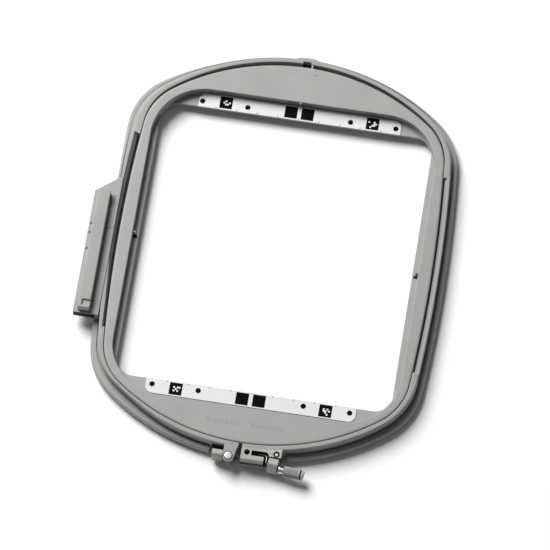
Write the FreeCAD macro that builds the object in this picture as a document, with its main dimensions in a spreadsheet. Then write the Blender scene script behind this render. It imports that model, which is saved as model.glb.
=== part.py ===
import FreeCAD, Part
import math
import os

import Sketcher

# Embroidery hoop with a quick-release clamp, in millimetres.
# +Z is up and z = 0 is the surface that the hoop lies on. +Y points to the back, where the
# outer ring flexes, and the clamp is at the front. The origin is the centre of the sewing field.

# ----------------------------------------------------------------------------- driving sizes
SIZES = {
    # inner frame
    "frame_half_width": 150.0,
    "frame_reach": 195.0,
    "frame_back": 194.3,
    "side_radius": 1430.0,
    "end_radius": 205.0,
    "corner_radius": 55.0,
    "window_half_width": 137.3,
    "window_back": 157.0,
    "window_front": 160.0,
    "window_corner": 52.0,
    "opening_half_width": 131.5,
    "opening_half_length": 141.4,
    "opening_corner": 17.0,
    "frame_top": 16.0,
    "frame_bottom": 0.5,
    "wall": 2.4,
    "ledge_top": 7.0,
    "ledge_bottom": 4.6,
    "rib_thickness": 1.8,
    "rib_spacing": 24.0,
    "rib_end_gap": 3.0,
    # scale strips on the ledges
    "strip_length": 200.0,
    "strip_width": 14.6,
    "strip_thickness": 0.8,
    "strip_corner": 7.0,
    # outer ring
    "fabric_gap": 0.35,
    "rim_half_width": 158.3,
    "rim_front": 200.5,
    "rim_back": 201.5,
    "rim_corner": 61.0,
    "bore_back": 197.6,
    "bore_back_radius": 200.0,
    "flange_half_width": 163.0,
    "flange_front": 207.0,
    "flange_back": 207.0,
    "flange_corner": 66.0,
    "flange_top": 6.0,
    "flange_hollow_top": 3.6,
    "flange_skirt": 2.0,
    "slot_half_length": 100.0,
    "slot_width": 6.0,
    "slot_step_width": 3.6,
    "slot_step": 9.0,
    "slot_bottom": 2.4,
    "notch_bump_half": 11.5,
    "notch_bump_reach": 204.8,
    "notch_half": 4.0,
    "notch_reach": 199.8,
    "notch_bottom": 3.0,
    "flex_slit": 0.3,
    "flex_y": 202.4,
    "flex_relief": 1.0,
    # clamp
    "split_left": -3.5,
    "split_right": 0.1,
    "pivot_x": -11.2,
    "pivot_y": -209.6,
    "ear_radius": 5.3,
    "ear_right": -5.2,
    "ear_neck_y": -203.9,
    "ear_slot_low": 4.0,
    "ear_slot_high": 12.0,
    "ear_bottom": 0.6,
    "pin_radius": 1.5,
    "running_gap": 0.05,
    "hub_radius": 4.7,
    "cam_throw": 3.5,
    "cam_angle": 160.0,
    "cheek_low": 4.3,
    "cheek_inner_low": 6.3,
    "cheek_inner_high": 9.7,
    "cheek_high": 11.7,
    "lever_clear_radius": 5.7,
    "pivot_head_radius": 3.8,
    "pivot_head_height": 0.5,
    "lever_tip_x": -27.0,
    "lever_back_y": -204.6,
    "lever_front_y": -211.2,
    "lever_bottom": 1.2,
    "lever_top": 15.6,
    "bar_z": 8.0,
    "bar_tilt": -5.6,
    "bar_length": 72.8,
    "bar_radius": 1.5,
    "eye_radius": 3.0,
    "eye_half_height": 1.4,
    # bracket, swivel block and knob
    "bracket_right": 38.0,
    "bracket_front": -212.0,
    "bracket_step_x": 25.2,
    "bracket_step_y": -204.6,
    "pocket_left": 9.8,
    "pocket_back": -201.0,
    "pocket_front": -206.0,
    "pocket_mouth": 21.9,
    "pocket_bottom": 3.0,
    "channel_back": -207.6,
    "channel_low": 5.2,
    "channel_high": 10.8,
    "screw_x": 5.5,
    "screw_y": -203.3,
    "screw_head_radius": 2.5,
    "screw_recess_radius": 2.8,
    "tongue_top": 3.4,
    "tongue_left": 1.5,
    "tongue_right": 10.0,
    "tongue_front": -207.0,
    "swivel_x": 33.2,
    "swivel_y": -201.8,
    "swivel_pin_radius": 1.7,
    "swivel_hub_radius": 3.1,
    "swivel_low": 3.5,
    "swivel_high": 12.5,
    "swivel_recess_low": 3.2,
    "swivel_recess_high": 12.8,
    "swivel_recess_back": -198.3,
    "block_left": 6.0,
    "block_right": 3.6,
    "block_back": 3.8,
    "block_front": 14.8,
    "block_chamfer": 5.1,
    "block_bottom": 2.0,
    "block_top": 14.6,
    "bar_hole_radius": 2.4,
    "spring_left": 15.5,
    "spring_back": -202.2,
    "spring_thickness": 0.5,
    "spring_bend": 3.0,
    "spring_bend_x": 21.6,
    "washer_start": 51.7,
    "washer_thickness": 1.4,
    "washer_radius": 4.2,
    "collar_radius": 3.2,
    "collar_length": 4.2,
    "knob_start": 56.3,
    "knob_length": 19.7,
    "knob_radius": 4.8,
    "insert_radius": 2.5,
    "insert_length": 12.0,
    "flute_radius": 0.7,
    "end_ring_start": 72.2,
    "end_ring_width": 1.3,
    "end_ring_inner": 4.1,
    "end_ring_outer": 4.9,
    # connector that slides into the machine's carriage
    "plate_left": -179.5,
    "plate_back": 35.0,
    "plate_slant_x": -156.0,
    "plate_slant_y": 52.5,
    "plate_front": -90.0,
    "plate_bottom": 7.5,
    "plate_top": 17.0,
    "plate_skin": 2.6,
    "lip_inner_x": -155.2,
    "rail_left": -175.2,
    "rail_right": -163.5,
    "rail_back": 34.0,
    "rail_front": -88.0,
    "rail_top": 26.0,
    "latch_left": -171.4,
    "latch_back": -79.6,
    "latch_front": -85.2,
    "latch_depth": 2.4,
    "code_pin_x": -177.3,
    "code_pin_radius": 1.1,
    "code_pin_top": 17.6,
    "connector_screw_x": -167.4,
    "connector_screw_radius": 1.6,
    "connector_screw_head": 3.1,
}
CODE_PIN_PLACES = (1.4, -8.1, -24.5)
CONNECTOR_SCREW_PLACES = (22.0, -28.0, -76.0)
KNOB_FLUTES = 18

# the cam pin's place, and the swivel pin's place along and beside the tilted draw bar
tilt = math.radians(SIZES["bar_tilt"])
SIZES["cam_x"] = SIZES["pivot_x"] + SIZES["cam_throw"] * math.cos(math.radians(SIZES["cam_angle"]))
SIZES["cam_y"] = SIZES["pivot_y"] + SIZES["cam_throw"] * math.sin(math.radians(SIZES["cam_angle"]))
reach_x = SIZES["swivel_x"] - SIZES["cam_x"]
reach_y = SIZES["swivel_y"] - SIZES["cam_y"]
SIZES["bar_offset"] = reach_y * math.cos(tilt) - reach_x * math.sin(tilt)

doc = FreeCAD.newDocument("embroidery_hoop")
sheet = doc.addObject("Spreadsheet::Sheet", "Sizes")
for row, (alias, size) in enumerate(SIZES.items(), start=1):
    sheet.set(f"A{row}", alias)
    sheet.set(f"B{row}", str(size))
    sheet.setAlias(f"B{row}", alias)
doc.recompute()

nodes = []


# ----------------------------------------------------------------------------- helpers
def cell(text):
    """Turn an expression in plain aliases into one that names the sheet."""
    words = []
    for word in text.replace("(", " ( ").replace(")", " ) ").split():
        words.append(f"Sizes.{word}" if word.lstrip("-") in SIZES and not word.startswith("-") else word)
    return " ".join(words)


def value(text):
    return float(sheet.evalExpression(cell(str(text))))


def bind(thing, path, text):
    thing.setExpression(path, cell(str(text)))


def name_node(thing, label):
    thing.Label = label
    nodes.append(thing)
    return thing


def place(thing, x, y, z=0.0, turn=0.0):
    spin = FreeCAD.Rotation(FreeCAD.Vector(0, 0, 1), turn)
    thing.Placement = FreeCAD.Placement(FreeCAD.Vector(x, y, z), spin)


def new_body(label):
    return name_node(doc.addObject("PartDesign::Body", label), label)


def sketch_on(body, role, offset="0"):
    """An empty sketch on one of the body's own origin planes, lifted along the plane's normal."""
    sketch = body.newObject("Sketcher::SketchObject", f"{body.Name}_sketch")
    plane = [item for item in body.Origin.OriginFeatures if item.Role == role][0]
    sketch.AttachmentSupport = [(plane, "")]
    sketch.MapMode = "FlatFace"
    bind(sketch, "AttachmentOffset.Base.z", offset)
    sketch.AttachmentOffset = FreeCAD.Placement(FreeCAD.Vector(0, 0, value(offset)), FreeCAD.Rotation())
    return sketch


def dimension(sketch, constraint, text):
    """Add one dimension and bind it to the sheet. Dimensions of zero length are left unbound."""
    index = sketch.addConstraint(constraint)
    label = f"size_{index}"
    sketch.renameConstraint(index, label)
    sketch.setExpression(f"Constraints.{label}", cell(text))


def pin_point(sketch, geometry, point, x, y):
    dimension(sketch, Sketcher.Constraint("DistanceX", -1, 1, geometry, point, value(x)), x)
    dimension(sketch, Sketcher.Constraint("DistanceY", -1, 1, geometry, point, value(y)), y)


def draw_polygon(sketch, corners):
    """A closed outline of straight runs, with every corner placed from the sheet."""
    spots = [FreeCAD.Vector(value(x), value(y), 0) for x, y in corners]
    lines = []
    for start, end in zip(spots, spots[1:] + spots[:1]):
        lines.append(sketch.addGeometry(Part.LineSegment(start, end), False))
    for index, line in enumerate(lines):
        following = lines[(index + 1) % len(lines)]
        sketch.addConstraint(Sketcher.Constraint("Coincident", line, 2, following, 1))
    for line, (x, y) in zip(lines, corners):
        pin_point(sketch, line, 1, x, y)


def draw_box(sketch, low_x, low_y, high_x, high_y):
    draw_polygon(sketch, [(low_x, low_y), (high_x, low_y), (high_x, high_y), (low_x, high_y)])


def draw_circle(sketch, x, y, radius):
    centre = FreeCAD.Vector(value(x), value(y), 0)
    ring = sketch.addGeometry(Part.Circle(centre, FreeCAD.Vector(0, 0, 1), value(radius)), False)
    dimension(sketch, Sketcher.Constraint("Radius", ring, value(radius)), radius)
    if centre.Length < 1e-9:
        sketch.addConstraint(Sketcher.Constraint("Coincident", ring, 3, -1, 1))
    else:
        pin_point(sketch, ring, 3, x, y)


def draw_round_box(sketch, half_width, back, front, corner):
    """A round-cornered rectangle that reaches back and front of the origin by two lengths."""
    width, radius = value(half_width), value(corner)
    flat_x, high_y, low_y = width - radius, value(back), -value(front)
    quarter = math.pi / 2
    parts = []
    for index, (sign_x, sign_y) in enumerate(((1, 1), (-1, 1), (-1, -1), (1, -1))):
        centre = FreeCAD.Vector(sign_x * flat_x, high_y - radius if sign_y > 0 else low_y + radius, 0)
        circle = Part.Circle(centre, FreeCAD.Vector(0, 0, 1), radius)
        arc = Part.ArcOfCircle(circle, index * quarter, (index + 1) * quarter)
        parts.append(sketch.addGeometry(arc, False))
        corners = ((flat_x, high_y, -flat_x, high_y), (-width, high_y - radius, -width, low_y + radius),
                   (-flat_x, low_y, flat_x, low_y), (width, low_y + radius, width, high_y - radius))
        x1, y1, x2, y2 = corners[index]
        run = Part.LineSegment(FreeCAD.Vector(x1, y1, 0), FreeCAD.Vector(x2, y2, 0))
        parts.append(sketch.addGeometry(run, False))
    for index, part in enumerate(parts):
        sketch.addConstraint(Sketcher.Constraint("Tangent", part, 2, parts[(index + 1) % 8], 1))
    arcs, runs = parts[0::2], parts[1::2]
    for run, way in zip(runs, ("Horizontal", "Vertical", "Horizontal", "Vertical")):
        sketch.addConstraint(Sketcher.Constraint(way, run))
    for arc in arcs[1:]:
        sketch.addConstraint(Sketcher.Constraint("Equal", arcs[0], arc))
    dimension(sketch, Sketcher.Constraint("Radius", arcs[0], radius), corner)
    centre_x = f"( {half_width} ) - ( {corner} )"
    pin_point(sketch, arcs[0], 3, centre_x, f"( {back} ) - ( {corner} )")
    pin_point(sketch, arcs[2], 3, f"0 - ( {centre_x} )", f"( {corner} ) - ( {front} )")


def corner_centre(half_width, side, reach, end, corner):
    """Centre of the arc that touches a side arc and an end arc from inside, right and back."""
    side_x, end_y = half_width - side, reach - end
    far, near = side - corner, end - corner
    gap = math.hypot(side_x, end_y)
    along = (far ** 2 - near ** 2 + gap ** 2) / (2 * gap)
    across = math.sqrt(far ** 2 - along ** 2)
    unit_x, unit_y = -side_x / gap, end_y / gap
    return side_x + along * unit_x - across * unit_y, along * unit_y + across * unit_x


def oval(half_width, front, back, corner, side="", front_radius="", back_radius=""):
    """The seven sizes of a hoop outline, as expressions in the sheet's aliases."""
    return {
        "half_width": half_width,
        "front": front,
        "back": back,
        "corner": corner,
        "side": side or f"side_radius + {half_width} - frame_half_width",
        "front_radius": front_radius or f"end_radius + {front} - frame_reach",
        "back_radius": back_radius or f"end_radius + {back} - frame_reach",
    }


def draw_oval(sketch, size):
    """A hoop outline: two long side arcs, a front and a back arc, and four corner arcs."""
    number = {key: value(text) for key, text in size.items()}
    side, corner = number["side"], number["corner"]
    side_x = number["half_width"] - side
    back_y = number["back"] - number["back_radius"]
    front_y = number["front_radius"] - number["front"]
    back_corner = corner_centre(number["half_width"], side, number["back"], number["back_radius"], corner)
    front_corner = corner_centre(number["half_width"], side, number["front"], number["front_radius"], corner)
    front_corner = (front_corner[0], -front_corner[1])
    right, left = (side_x, 0.0), (-side_x, 0.0)
    back, front = (0.0, back_y), (0.0, front_y)

    def mirror(spot):
        return (-spot[0], spot[1])

    def angle(centre, spot):
        return math.atan2(spot[1] - centre[1], spot[0] - centre[0])

    arcs = [
        (right, side, angle(right, front_corner), angle(right, back_corner)),
        (back_corner, corner, angle(right, back_corner), angle(back, back_corner)),
        (back, number["back_radius"], angle(back, back_corner), angle(back, mirror(back_corner))),
        (mirror(back_corner), corner, angle(back, mirror(back_corner)), angle(left, mirror(back_corner))),
        (left, side, angle(left, mirror(back_corner)), angle(left, mirror(front_corner))),
        (mirror(front_corner), corner, angle(left, mirror(front_corner)), angle(front, mirror(front_corner))),
        (front, number["front_radius"], angle(front, mirror(front_corner)), angle(front, front_corner)),
        (front_corner, corner, angle(front, front_corner), angle(right, front_corner)),
    ]
    drawn = []
    for centre, radius, start, end in arcs:
        if end < start:
            end += 2 * math.pi
        circle = Part.Circle(FreeCAD.Vector(centre[0], centre[1], 0), FreeCAD.Vector(0, 0, 1), radius)
        drawn.append(sketch.addGeometry(Part.ArcOfCircle(circle, start, end), False))
    for index, arc in enumerate(drawn):
        sketch.addConstraint(Sketcher.Constraint("Tangent", arc, 2, drawn[(index + 1) % 8], 1))
    east, north_east, north, north_west, west, south_west, south, south_east = drawn
    for arc in (east, west):
        sketch.addConstraint(Sketcher.Constraint("PointOnObject", arc, 3, -1))
    for arc in (north, south):
        sketch.addConstraint(Sketcher.Constraint("PointOnObject", arc, 3, -2))
    sketch.addConstraint(Sketcher.Constraint("Equal", east, west))
    for arc in (north_west, south_west, south_east):
        sketch.addConstraint(Sketcher.Constraint("Equal", north_east, arc))
    dimension(sketch, Sketcher.Constraint("Radius", east, side), size["side"])
    dimension(sketch, Sketcher.Constraint("Radius", north_east, corner), size["corner"])
    dimension(sketch, Sketcher.Constraint("Radius", north, number["back_radius"]), size["back_radius"])
    dimension(sketch, Sketcher.Constraint("Radius", south, number["front_radius"]), size["front_radius"])
    side_text = f"{size['side']} - ( {size['half_width']} )"
    dimension(sketch, Sketcher.Constraint("DistanceX", east, 3, -1, 1, -side_x), side_text)
    dimension(sketch, Sketcher.Constraint("DistanceX", -1, 1, west, 3, -side_x), side_text)
    back_text = f"( {size['back']} ) - ( {size['back_radius']} )"
    dimension(sketch, Sketcher.Constraint("DistanceY", -1, 1, north, 3, back_y), back_text)
    front_text = f"( {size['front_radius']} ) - ( {size['front']} )"
    dimension(sketch, Sketcher.Constraint("DistanceY", -1, 1, south, 3, front_y), front_text)


def draw_band(sketch, facing, centre, radii, limits):
    """A band between two arcs about one centre, ended square to the axis that it runs along.

    facing is east, west or south: the way that the arcs bulge. limits are y values for a band
    that faces east or west, and x values for one that faces south.
    """
    middle = {"east": 0.0, "west": math.pi, "south": -math.pi / 2}[facing]
    way = -1 if facing == "west" else 1
    base = value(centre[0] if facing == "south" else centre[1])
    spot = FreeCAD.Vector(value(centre[0]), value(centre[1]), 0)
    arcs = []
    for radius in radii:
        swings = sorted(way * math.asin((value(limit) - base) / value(radius)) for limit in limits)
        circle = Part.Circle(spot, FreeCAD.Vector(0, 0, 1), value(radius))
        arc = Part.ArcOfCircle(circle, middle + swings[0], middle + swings[1])
        arcs.append(sketch.addGeometry(arc, False))
    lines = []
    for point in (1, 2):
        run = Part.LineSegment(sketch.getPoint(arcs[0], point), sketch.getPoint(arcs[1], point))
        line = sketch.addGeometry(run, False)
        sketch.addConstraint(Sketcher.Constraint("Coincident", arcs[0], point, line, 1))
        sketch.addConstraint(Sketcher.Constraint("Coincident", line, 2, arcs[1], point))
        sketch.addConstraint(Sketcher.Constraint("Vertical" if facing == "south" else "Horizontal", line))
        lines.append(line)
    sketch.addConstraint(Sketcher.Constraint("Coincident", arcs[0], 3, arcs[1], 3))
    pin_point(sketch, arcs[0], 3, centre[0], centre[1])
    for arc, radius in zip(arcs, radii):
        dimension(sketch, Sketcher.Constraint("Radius", arc, value(radius)), radius)
    axis = "DistanceX" if facing == "south" else "DistanceY"
    ordered = limits if way > 0 else tuple(reversed(limits))
    for line, limit in zip(lines, ordered):
        dimension(sketch, Sketcher.Constraint(axis, -1, 1, line, 1, value(limit)), limit)


def grow(body, low, high, draw, *args, role="XY_Plane"):
    """Pad what draw() sketches, from low to high along the plane's normal."""
    sketch = sketch_on(body, role, low)
    draw(sketch, *args)
    pad = body.newObject("PartDesign::Pad", f"{body.Name}_pad")
    pad.Profile = sketch
    pad.Length = value(f"( {high} ) - ( {low} )")
    bind(pad, "Length", f"( {high} ) - ( {low} )")
    doc.recompute()
    return pad


def cut(body, low, high, draw, *args, role="XY_Plane"):
    """Pocket what draw() sketches, from high down to low, and check that it removes material."""
    before = body.Shape.Volume
    sketch = sketch_on(body, role, high)
    draw(sketch, *args)
    pocket = body.newObject("PartDesign::Pocket", f"{body.Name}_pocket")
    pocket.Profile = sketch
    pocket.Length = value(f"( {high} ) - ( {low} )")
    bind(pocket, "Length", f"( {high} ) - ( {low} )")
    doc.recompute()
    if body.Shape.Volume >= before:
        raise RuntimeError(f"a pocket in {body.Label} cuts nothing")
    return pocket


def ring(outer, inner):
    """A drawing function for the band between two outlines."""
    def draw(sketch):
        for draw_outline, sizes in (outer, inner):
            draw_outline(sketch, *sizes)
    return draw


def cylinder(label, radius, height, x, y, low):
    """A vertical cylinder at a place, tied to the sheet."""
    shape = doc.addObject("Part::Cylinder", label)
    bind(shape, "Radius", radius)
    bind(shape, "Height", height)
    bind(shape, "Placement.Base.x", x)
    bind(shape, "Placement.Base.y", y)
    bind(shape, "Placement.Base.z", low)
    return shape


def rod(label, radius, start, length):
    """A cylinder along +X from start, at the height of the draw bar."""
    shape = doc.addObject("Part::Cylinder", label)
    bind(shape, "Radius", radius)
    bind(shape, "Height", length)
    along_x = FreeCAD.Rotation(FreeCAD.Vector(0, 1, 0), 90)
    shape.Placement = FreeCAD.Placement(FreeCAD.Vector(value(start), 0, value("bar_z")), along_x)
    bind(shape, "Placement.Base.x", start)
    bind(shape, "Placement.Base.z", "bar_z")
    return shape


def fuse(label, shapes):
    joined = doc.addObject("Part::MultiFuse", label)
    joined.Shapes = shapes
    return joined


def subtract(label, base, tool):
    result = doc.addObject("Part::Cut", label)
    result.Base = base
    result.Tool = tool
    return result


# ----------------------------------------------------------------------------- shared outlines
FRAME = oval("frame_half_width", "frame_reach", "frame_back", "corner_radius")
SHELL = oval("frame_half_width - wall", "frame_reach - wall", "frame_back - wall", "corner_radius - wall")
BORE = oval("frame_half_width + fabric_gap", "frame_reach + fabric_gap", "bore_back",
            "corner_radius + fabric_gap", back_radius="bore_back_radius")
RIM = oval("rim_half_width", "rim_front", "rim_back", "rim_corner")
FLANGE = oval("flange_half_width", "flange_front", "flange_back", "flange_corner")
SKIRT = oval("flange_half_width - flange_skirt", "flange_front - flange_skirt",
             "flange_back - flange_skirt", "flange_corner - flange_skirt")


# ----------------------------------------------------------------------------- inner frame
def make_inner_frame():
    """Moulded frame: a hollow plate with a sunken ledge that carries the two scale strips."""
    body = new_body("inner_frame")
    opening = (draw_round_box, ("opening_half_width", "opening_half_length", "opening_half_length",
                                "opening_corner"))
    window_sizes = ("window_half_width", "window_back", "window_front", "window_corner")
    window = (draw_round_box, window_sizes)
    inner_wall = (draw_round_box, tuple(f"{size} + wall" for size in window_sizes))
    mid_wall = (draw_round_box, tuple(f"{size} + wall / 2" for size in window_sizes))
    grow(body, "frame_bottom", "frame_top", ring((draw_oval, (FRAME,)), window))
    cut(body, "frame_bottom", "frame_top - wall", ring((draw_oval, (SHELL,)), inner_wall))
    grow(body, "ledge_bottom", "ledge_top", ring(mid_wall, opening))

    def draw_ribs(sketch):
        half = "rib_thickness / 2"
        for side in ("back", "front"):
            low = f"window_{side} + wall / 2"
            high = "frame_reach - wall - rib_end_gap"
            low, high = (low, high) if side == "back" else (f"0 - ( {high} )", f"0 - ( {low} )")
            for step in (-1.5, -0.5, 0.5, 1.5):
                middle = f"rib_spacing * {step}" if step > 0 else f"0 - rib_spacing * {-step}"
                draw_box(sketch, f"{middle} - {half}", low, f"{middle} + {half}", high)

    grow(body, "ledge_bottom", "frame_top - wall", draw_ribs)
    return body


def make_strip(label, end):
    """Printed scale strip with the two corners next to the plate rounded."""
    body = new_body(label)
    near = "opening_half_length"
    far = "opening_half_length + strip_width"
    half = "strip_length / 2"
    near, far = (near, far) if end > 0 else (f"0 - {near}", f"0 - ( {far} )")
    grow(body, "ledge_top", "ledge_top + strip_thickness", draw_box, f"0 - {half}", near, half, far)
    pad = body.Tip
    fillet = body.newObject("PartDesign::Fillet", f"{label}_corners")
    rounded = []
    for index, edge in enumerate(pad.Shape.Edges, start=1):
        middle = edge.CenterOfMass
        if abs(middle.y - value(far)) < 0.01 and abs(abs(middle.x) - value(half)) < 0.01:
            rounded.append(f"Edge{index}")
    fillet.Base = (pad, rounded)
    bind(fillet, "Radius", "strip_corner")
    doc.recompute()
    return body


# ----------------------------------------------------------------------------- outer ring
def make_ring_half(label, side):
    """One half of the outer ring, which flexes about the thin web behind its back notch."""
    body = new_body(label)
    rim = (draw_oval, (RIM,))
    bore = (draw_oval, (BORE,))
    grow(body, "0", "frame_top", ring(rim, bore))
    grow(body, "0", "flange_top", ring((draw_oval, (FLANGE,)), bore))
    cut(body, "0", "flange_hollow_top", ring((draw_oval, (SKIRT,)), rim))
    grow(body, "0", "frame_top", draw_box, "0 - notch_bump_half", "rim_back - 1.6",
         "notch_bump_half", "notch_bump_reach")
    cut(body, "notch_bottom", "frame_top", draw_box, "0 - notch_half", "rim_back - 12",
        "notch_half", "notch_reach")

    cut(body, "0", "frame_top", draw_circle, "0", "flex_y", "flex_relief")

    # relief slot beside the inner frame, wide at the top and narrow below
    facing = "east" if side > 0 else "west"
    gap = "side_radius - frame_half_width"
    centre = (f"0 - ( {gap} )" if side > 0 else gap, "0")
    for low, width in (("slot_bottom", "slot_step_width"), ("slot_step", "slot_width")):
        radii = ("side_radius - 2", f"side_radius + {width}")
        cut(body, low, "frame_top", draw_band, facing, centre, radii,
            ("0 - slot_half_length", "slot_half_length"))

    # the flange stops on both sides of the clamp
    front_radius = "end_radius + rim_front - frame_reach"
    cut(body, "0 - 1", "flange_top", draw_band, "south", ("0", "end_radius - frame_reach"),
        (front_radius, f"{front_radius} + flange_front - rim_front + 3"),
        ("lever_tip_x - 3", "bracket_right + 3"))
    if side < 0:
        add_lever_ear(body)
    else:
        add_bracket_tongue(body)
    cut_to_half(body, side)
    return body


def cut_to_half(body, side):
    """Keep one side of the ring: parted by the clamp's gap in front and a slit at the back."""
    far = "flange_half_width + 60"
    front, back, middle = "0 - flange_front - 40", "flange_back + 40", "5"
    split, slit = ("split_left", "0 - flex_slit / 2") if side < 0 else ("split_right", "flex_slit / 2")
    edge = far if side < 0 else f"0 - ( {far} )"
    corners = [(split, front), (edge, front), (edge, back), (slit, back), (slit, middle), (split, middle)]
    cut(body, "0 - 1", "frame_top + 1", draw_polygon, corners)


def add_lever_ear(body):
    """Forked ear that carries the clamp lever between its two plates."""
    left = "pivot_x - ear_radius"
    grow(body, "ear_bottom", "frame_top", draw_box, left, "pivot_y", "ear_right", "2 - rim_front")
    grow(body, "ear_bottom", "frame_top", draw_circle, "pivot_x", "pivot_y", "ear_radius")
    cut(body, "ear_slot_low", "ear_slot_high", draw_box, "pivot_x - ear_radius - 2",
        "pivot_y - ear_radius - 2", "split_left + 2", "ear_neck_y")
    cut(body, "0 - 1", "frame_top", draw_circle, "pivot_x", "pivot_y", "pin_radius")


def add_bracket_tongue(body):
    """Flat tongue under the bracket that its screw bites into."""
    grow(body, "0", "tongue_top", draw_box, "tongue_left", "tongue_front", "tongue_right", "2 - rim_front")
    cut(body, "0 - 1", "tongue_top", draw_circle, "screw_x", "screw_y", "pin_radius")


# ----------------------------------------------------------------------------- connector
def make_connector_base():
    """Hollow wing on the left that hangs the hoop on the machine's carriage."""
    body = new_body("connector_base")
    outline = [
        ("plate_left", "plate_front"),
        ("lip_inner_x", "plate_front"),
        ("lip_inner_x", "plate_slant_y"),
        ("plate_slant_x - 2", "plate_slant_y"),
        ("plate_left", "plate_back"),
    ]
    grow(body, "plate_bottom", "plate_top", draw_polygon, outline)
    cut(body, "plate_bottom", "frame_top", draw_oval, RIM)
    hollow = [
        ("plate_left + plate_skin", "plate_front + plate_skin"),
        ("0 - rim_half_width - plate_skin", "plate_front + plate_skin"),
        ("0 - rim_half_width - plate_skin", "plate_back"),
        ("plate_left + plate_skin", "plate_back - 4"),
    ]
    cut(body, "plate_bottom", "plate_top - plate_skin", draw_polygon, hollow)
    for place_y in CONNECTOR_SCREW_PLACES:
        grow(body, "plate_bottom", "plate_top - plate_skin", draw_circle, "connector_screw_x",
             str(place_y), "connector_screw_radius + 2.6")
        cut(body, "plate_bottom", "plate_top", draw_circle, "connector_screw_x", str(place_y),
            "connector_screw_radius")
    for place_y in CODE_PIN_PLACES:
        cut(body, "plate_top - plate_skin", "plate_top", draw_circle, "code_pin_x", str(place_y),
            "code_pin_radius")
    return body


def make_connector_rail():
    """Raised rail that slides into the carriage, with a pocket for the carriage's catch."""
    body = new_body("connector_rail")
    grow(body, "plate_top", "rail_top", draw_box, "rail_left", "rail_front", "rail_right", "rail_back")
    cut(body, "rail_top - latch_depth", "rail_top", draw_box, "latch_left", "latch_front",
        "rail_right + 1", "latch_back")
    cut(body, "plate_top", "rail_top - 3 * latch_depth / 2 - 1", draw_box, "rail_left + plate_skin",
        "rail_front + plate_skin", "rail_right - plate_skin", "rail_back - plate_skin")
    for place_y in CONNECTOR_SCREW_PLACES:
        grow(body, "plate_top", "rail_top - 3 * latch_depth / 2 - 1", draw_circle, "connector_screw_x",
             str(place_y), "connector_screw_radius + 1.6")
        cut(body, "plate_top", "plate_top + 4", draw_circle, "connector_screw_x", str(place_y),
            "connector_screw_radius")
    return body


def make_latch_plate():
    """Steel wear plate at the bottom of the rail's pocket."""
    body = new_body("latch_plate")
    grow(body, "rail_top - latch_depth", "rail_top - latch_depth + 0.6", draw_box, "latch_left + 0.4",
         "latch_front + 0.4", "rail_right - 0.4", "latch_back - 0.4")
    return body


def make_connector_screws():
    """Pan-head screws that hold the rail from below."""
    pieces = []
    for index, place_y in enumerate(CONNECTOR_SCREW_PLACES, start=1):
        shank = cylinder(f"connector_screw_shank_{index}", "connector_screw_radius", "plate_top + 4 - plate_bottom",
                         "connector_screw_x", str(place_y), "plate_bottom")
        head = cylinder(f"connector_screw_head_{index}", "connector_screw_head", "1.8",
                        "connector_screw_x", str(place_y), "plate_bottom - 1.8")
        socket = cylinder(f"connector_screw_socket_{index}", "1.2", "1.4", "connector_screw_x",
                          str(place_y), "plate_bottom - 1.9")
        screw = fuse(f"connector_screw_{index}", [shank, head])
        pieces.append(subtract(f"connector_screw_cut_{index}", screw, socket))
    return name_node(group_solids("connector_screw_group", pieces), "connector_screws")


def make_code_pins():
    """Small pins that tell the machine which hoop is fitted."""
    pieces = []
    for index, place_y in enumerate(CODE_PIN_PLACES, start=1):
        pieces.append(cylinder(f"code_pin_{index}", "code_pin_radius", "code_pin_top - plate_top + plate_skin",
                               "code_pin_x", str(place_y), "plate_top - plate_skin"))
    return name_node(group_solids("code_pin_group", pieces), "code_pins")


def group_solids(label, pieces):
    group = doc.addObject("Part::Compound", label)
    group.Links = pieces
    return group


# ----------------------------------------------------------------------------- clamp lever
def make_lever_pivots():
    """Two headed pins that hold the lever in the ear, one above and one below its hook."""
    upper = cylinder("pivot_upper", "pin_radius", "frame_top - cheek_inner_high", "pivot_x", "pivot_y",
                     "cheek_inner_high")
    head = cylinder("pivot_head", "pivot_head_radius", "pivot_head_height", "pivot_x", "pivot_y", "frame_top")
    lower = cylinder("pivot_lower", "pin_radius", "cheek_inner_low - ear_bottom", "pivot_x", "pivot_y",
                     "ear_bottom")
    return name_node(group_solids("pivot_group", [fuse("pivot_top", [upper, head]), lower]), "lever_pivot_pins")


def make_clamp_lever():
    """Finger lever with two cheeks that carry the cam pin. It opens away from the ring."""
    body = new_body("clamp_lever")
    grow(body, "lever_bottom", "lever_top", draw_box, "lever_tip_x", "lever_front_y",
         "pivot_x - lever_clear_radius", "lever_back_y")
    for low, high in (("cheek_low", "cheek_inner_low"), ("cheek_inner_high", "cheek_high")):
        grow(body, low, high, draw_circle, "pivot_x", "pivot_y", "hub_radius")
        grow(body, low, high, draw_box, "lever_tip_x + 1", "lever_front_y + 1", "pivot_x - 1",
             "pivot_y + hub_radius - 0.4")
        cut(body, low, high, draw_circle, "pivot_x", "pivot_y", "pin_radius + running_gap")
        cut(body, low, high, draw_circle, "cam_x", "cam_y", "pin_radius")
    cut(body, "cheek_inner_low", "cheek_inner_high", draw_circle, "cam_x", "cam_y", "eye_radius + 0.35")
    return body


def make_cam_pin():
    pin = cylinder("cam_pin", "pin_radius", "cheek_high - cheek_low", "cam_x", "cam_y", "cheek_low")
    return name_node(pin, "lever_cam_pin")


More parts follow.
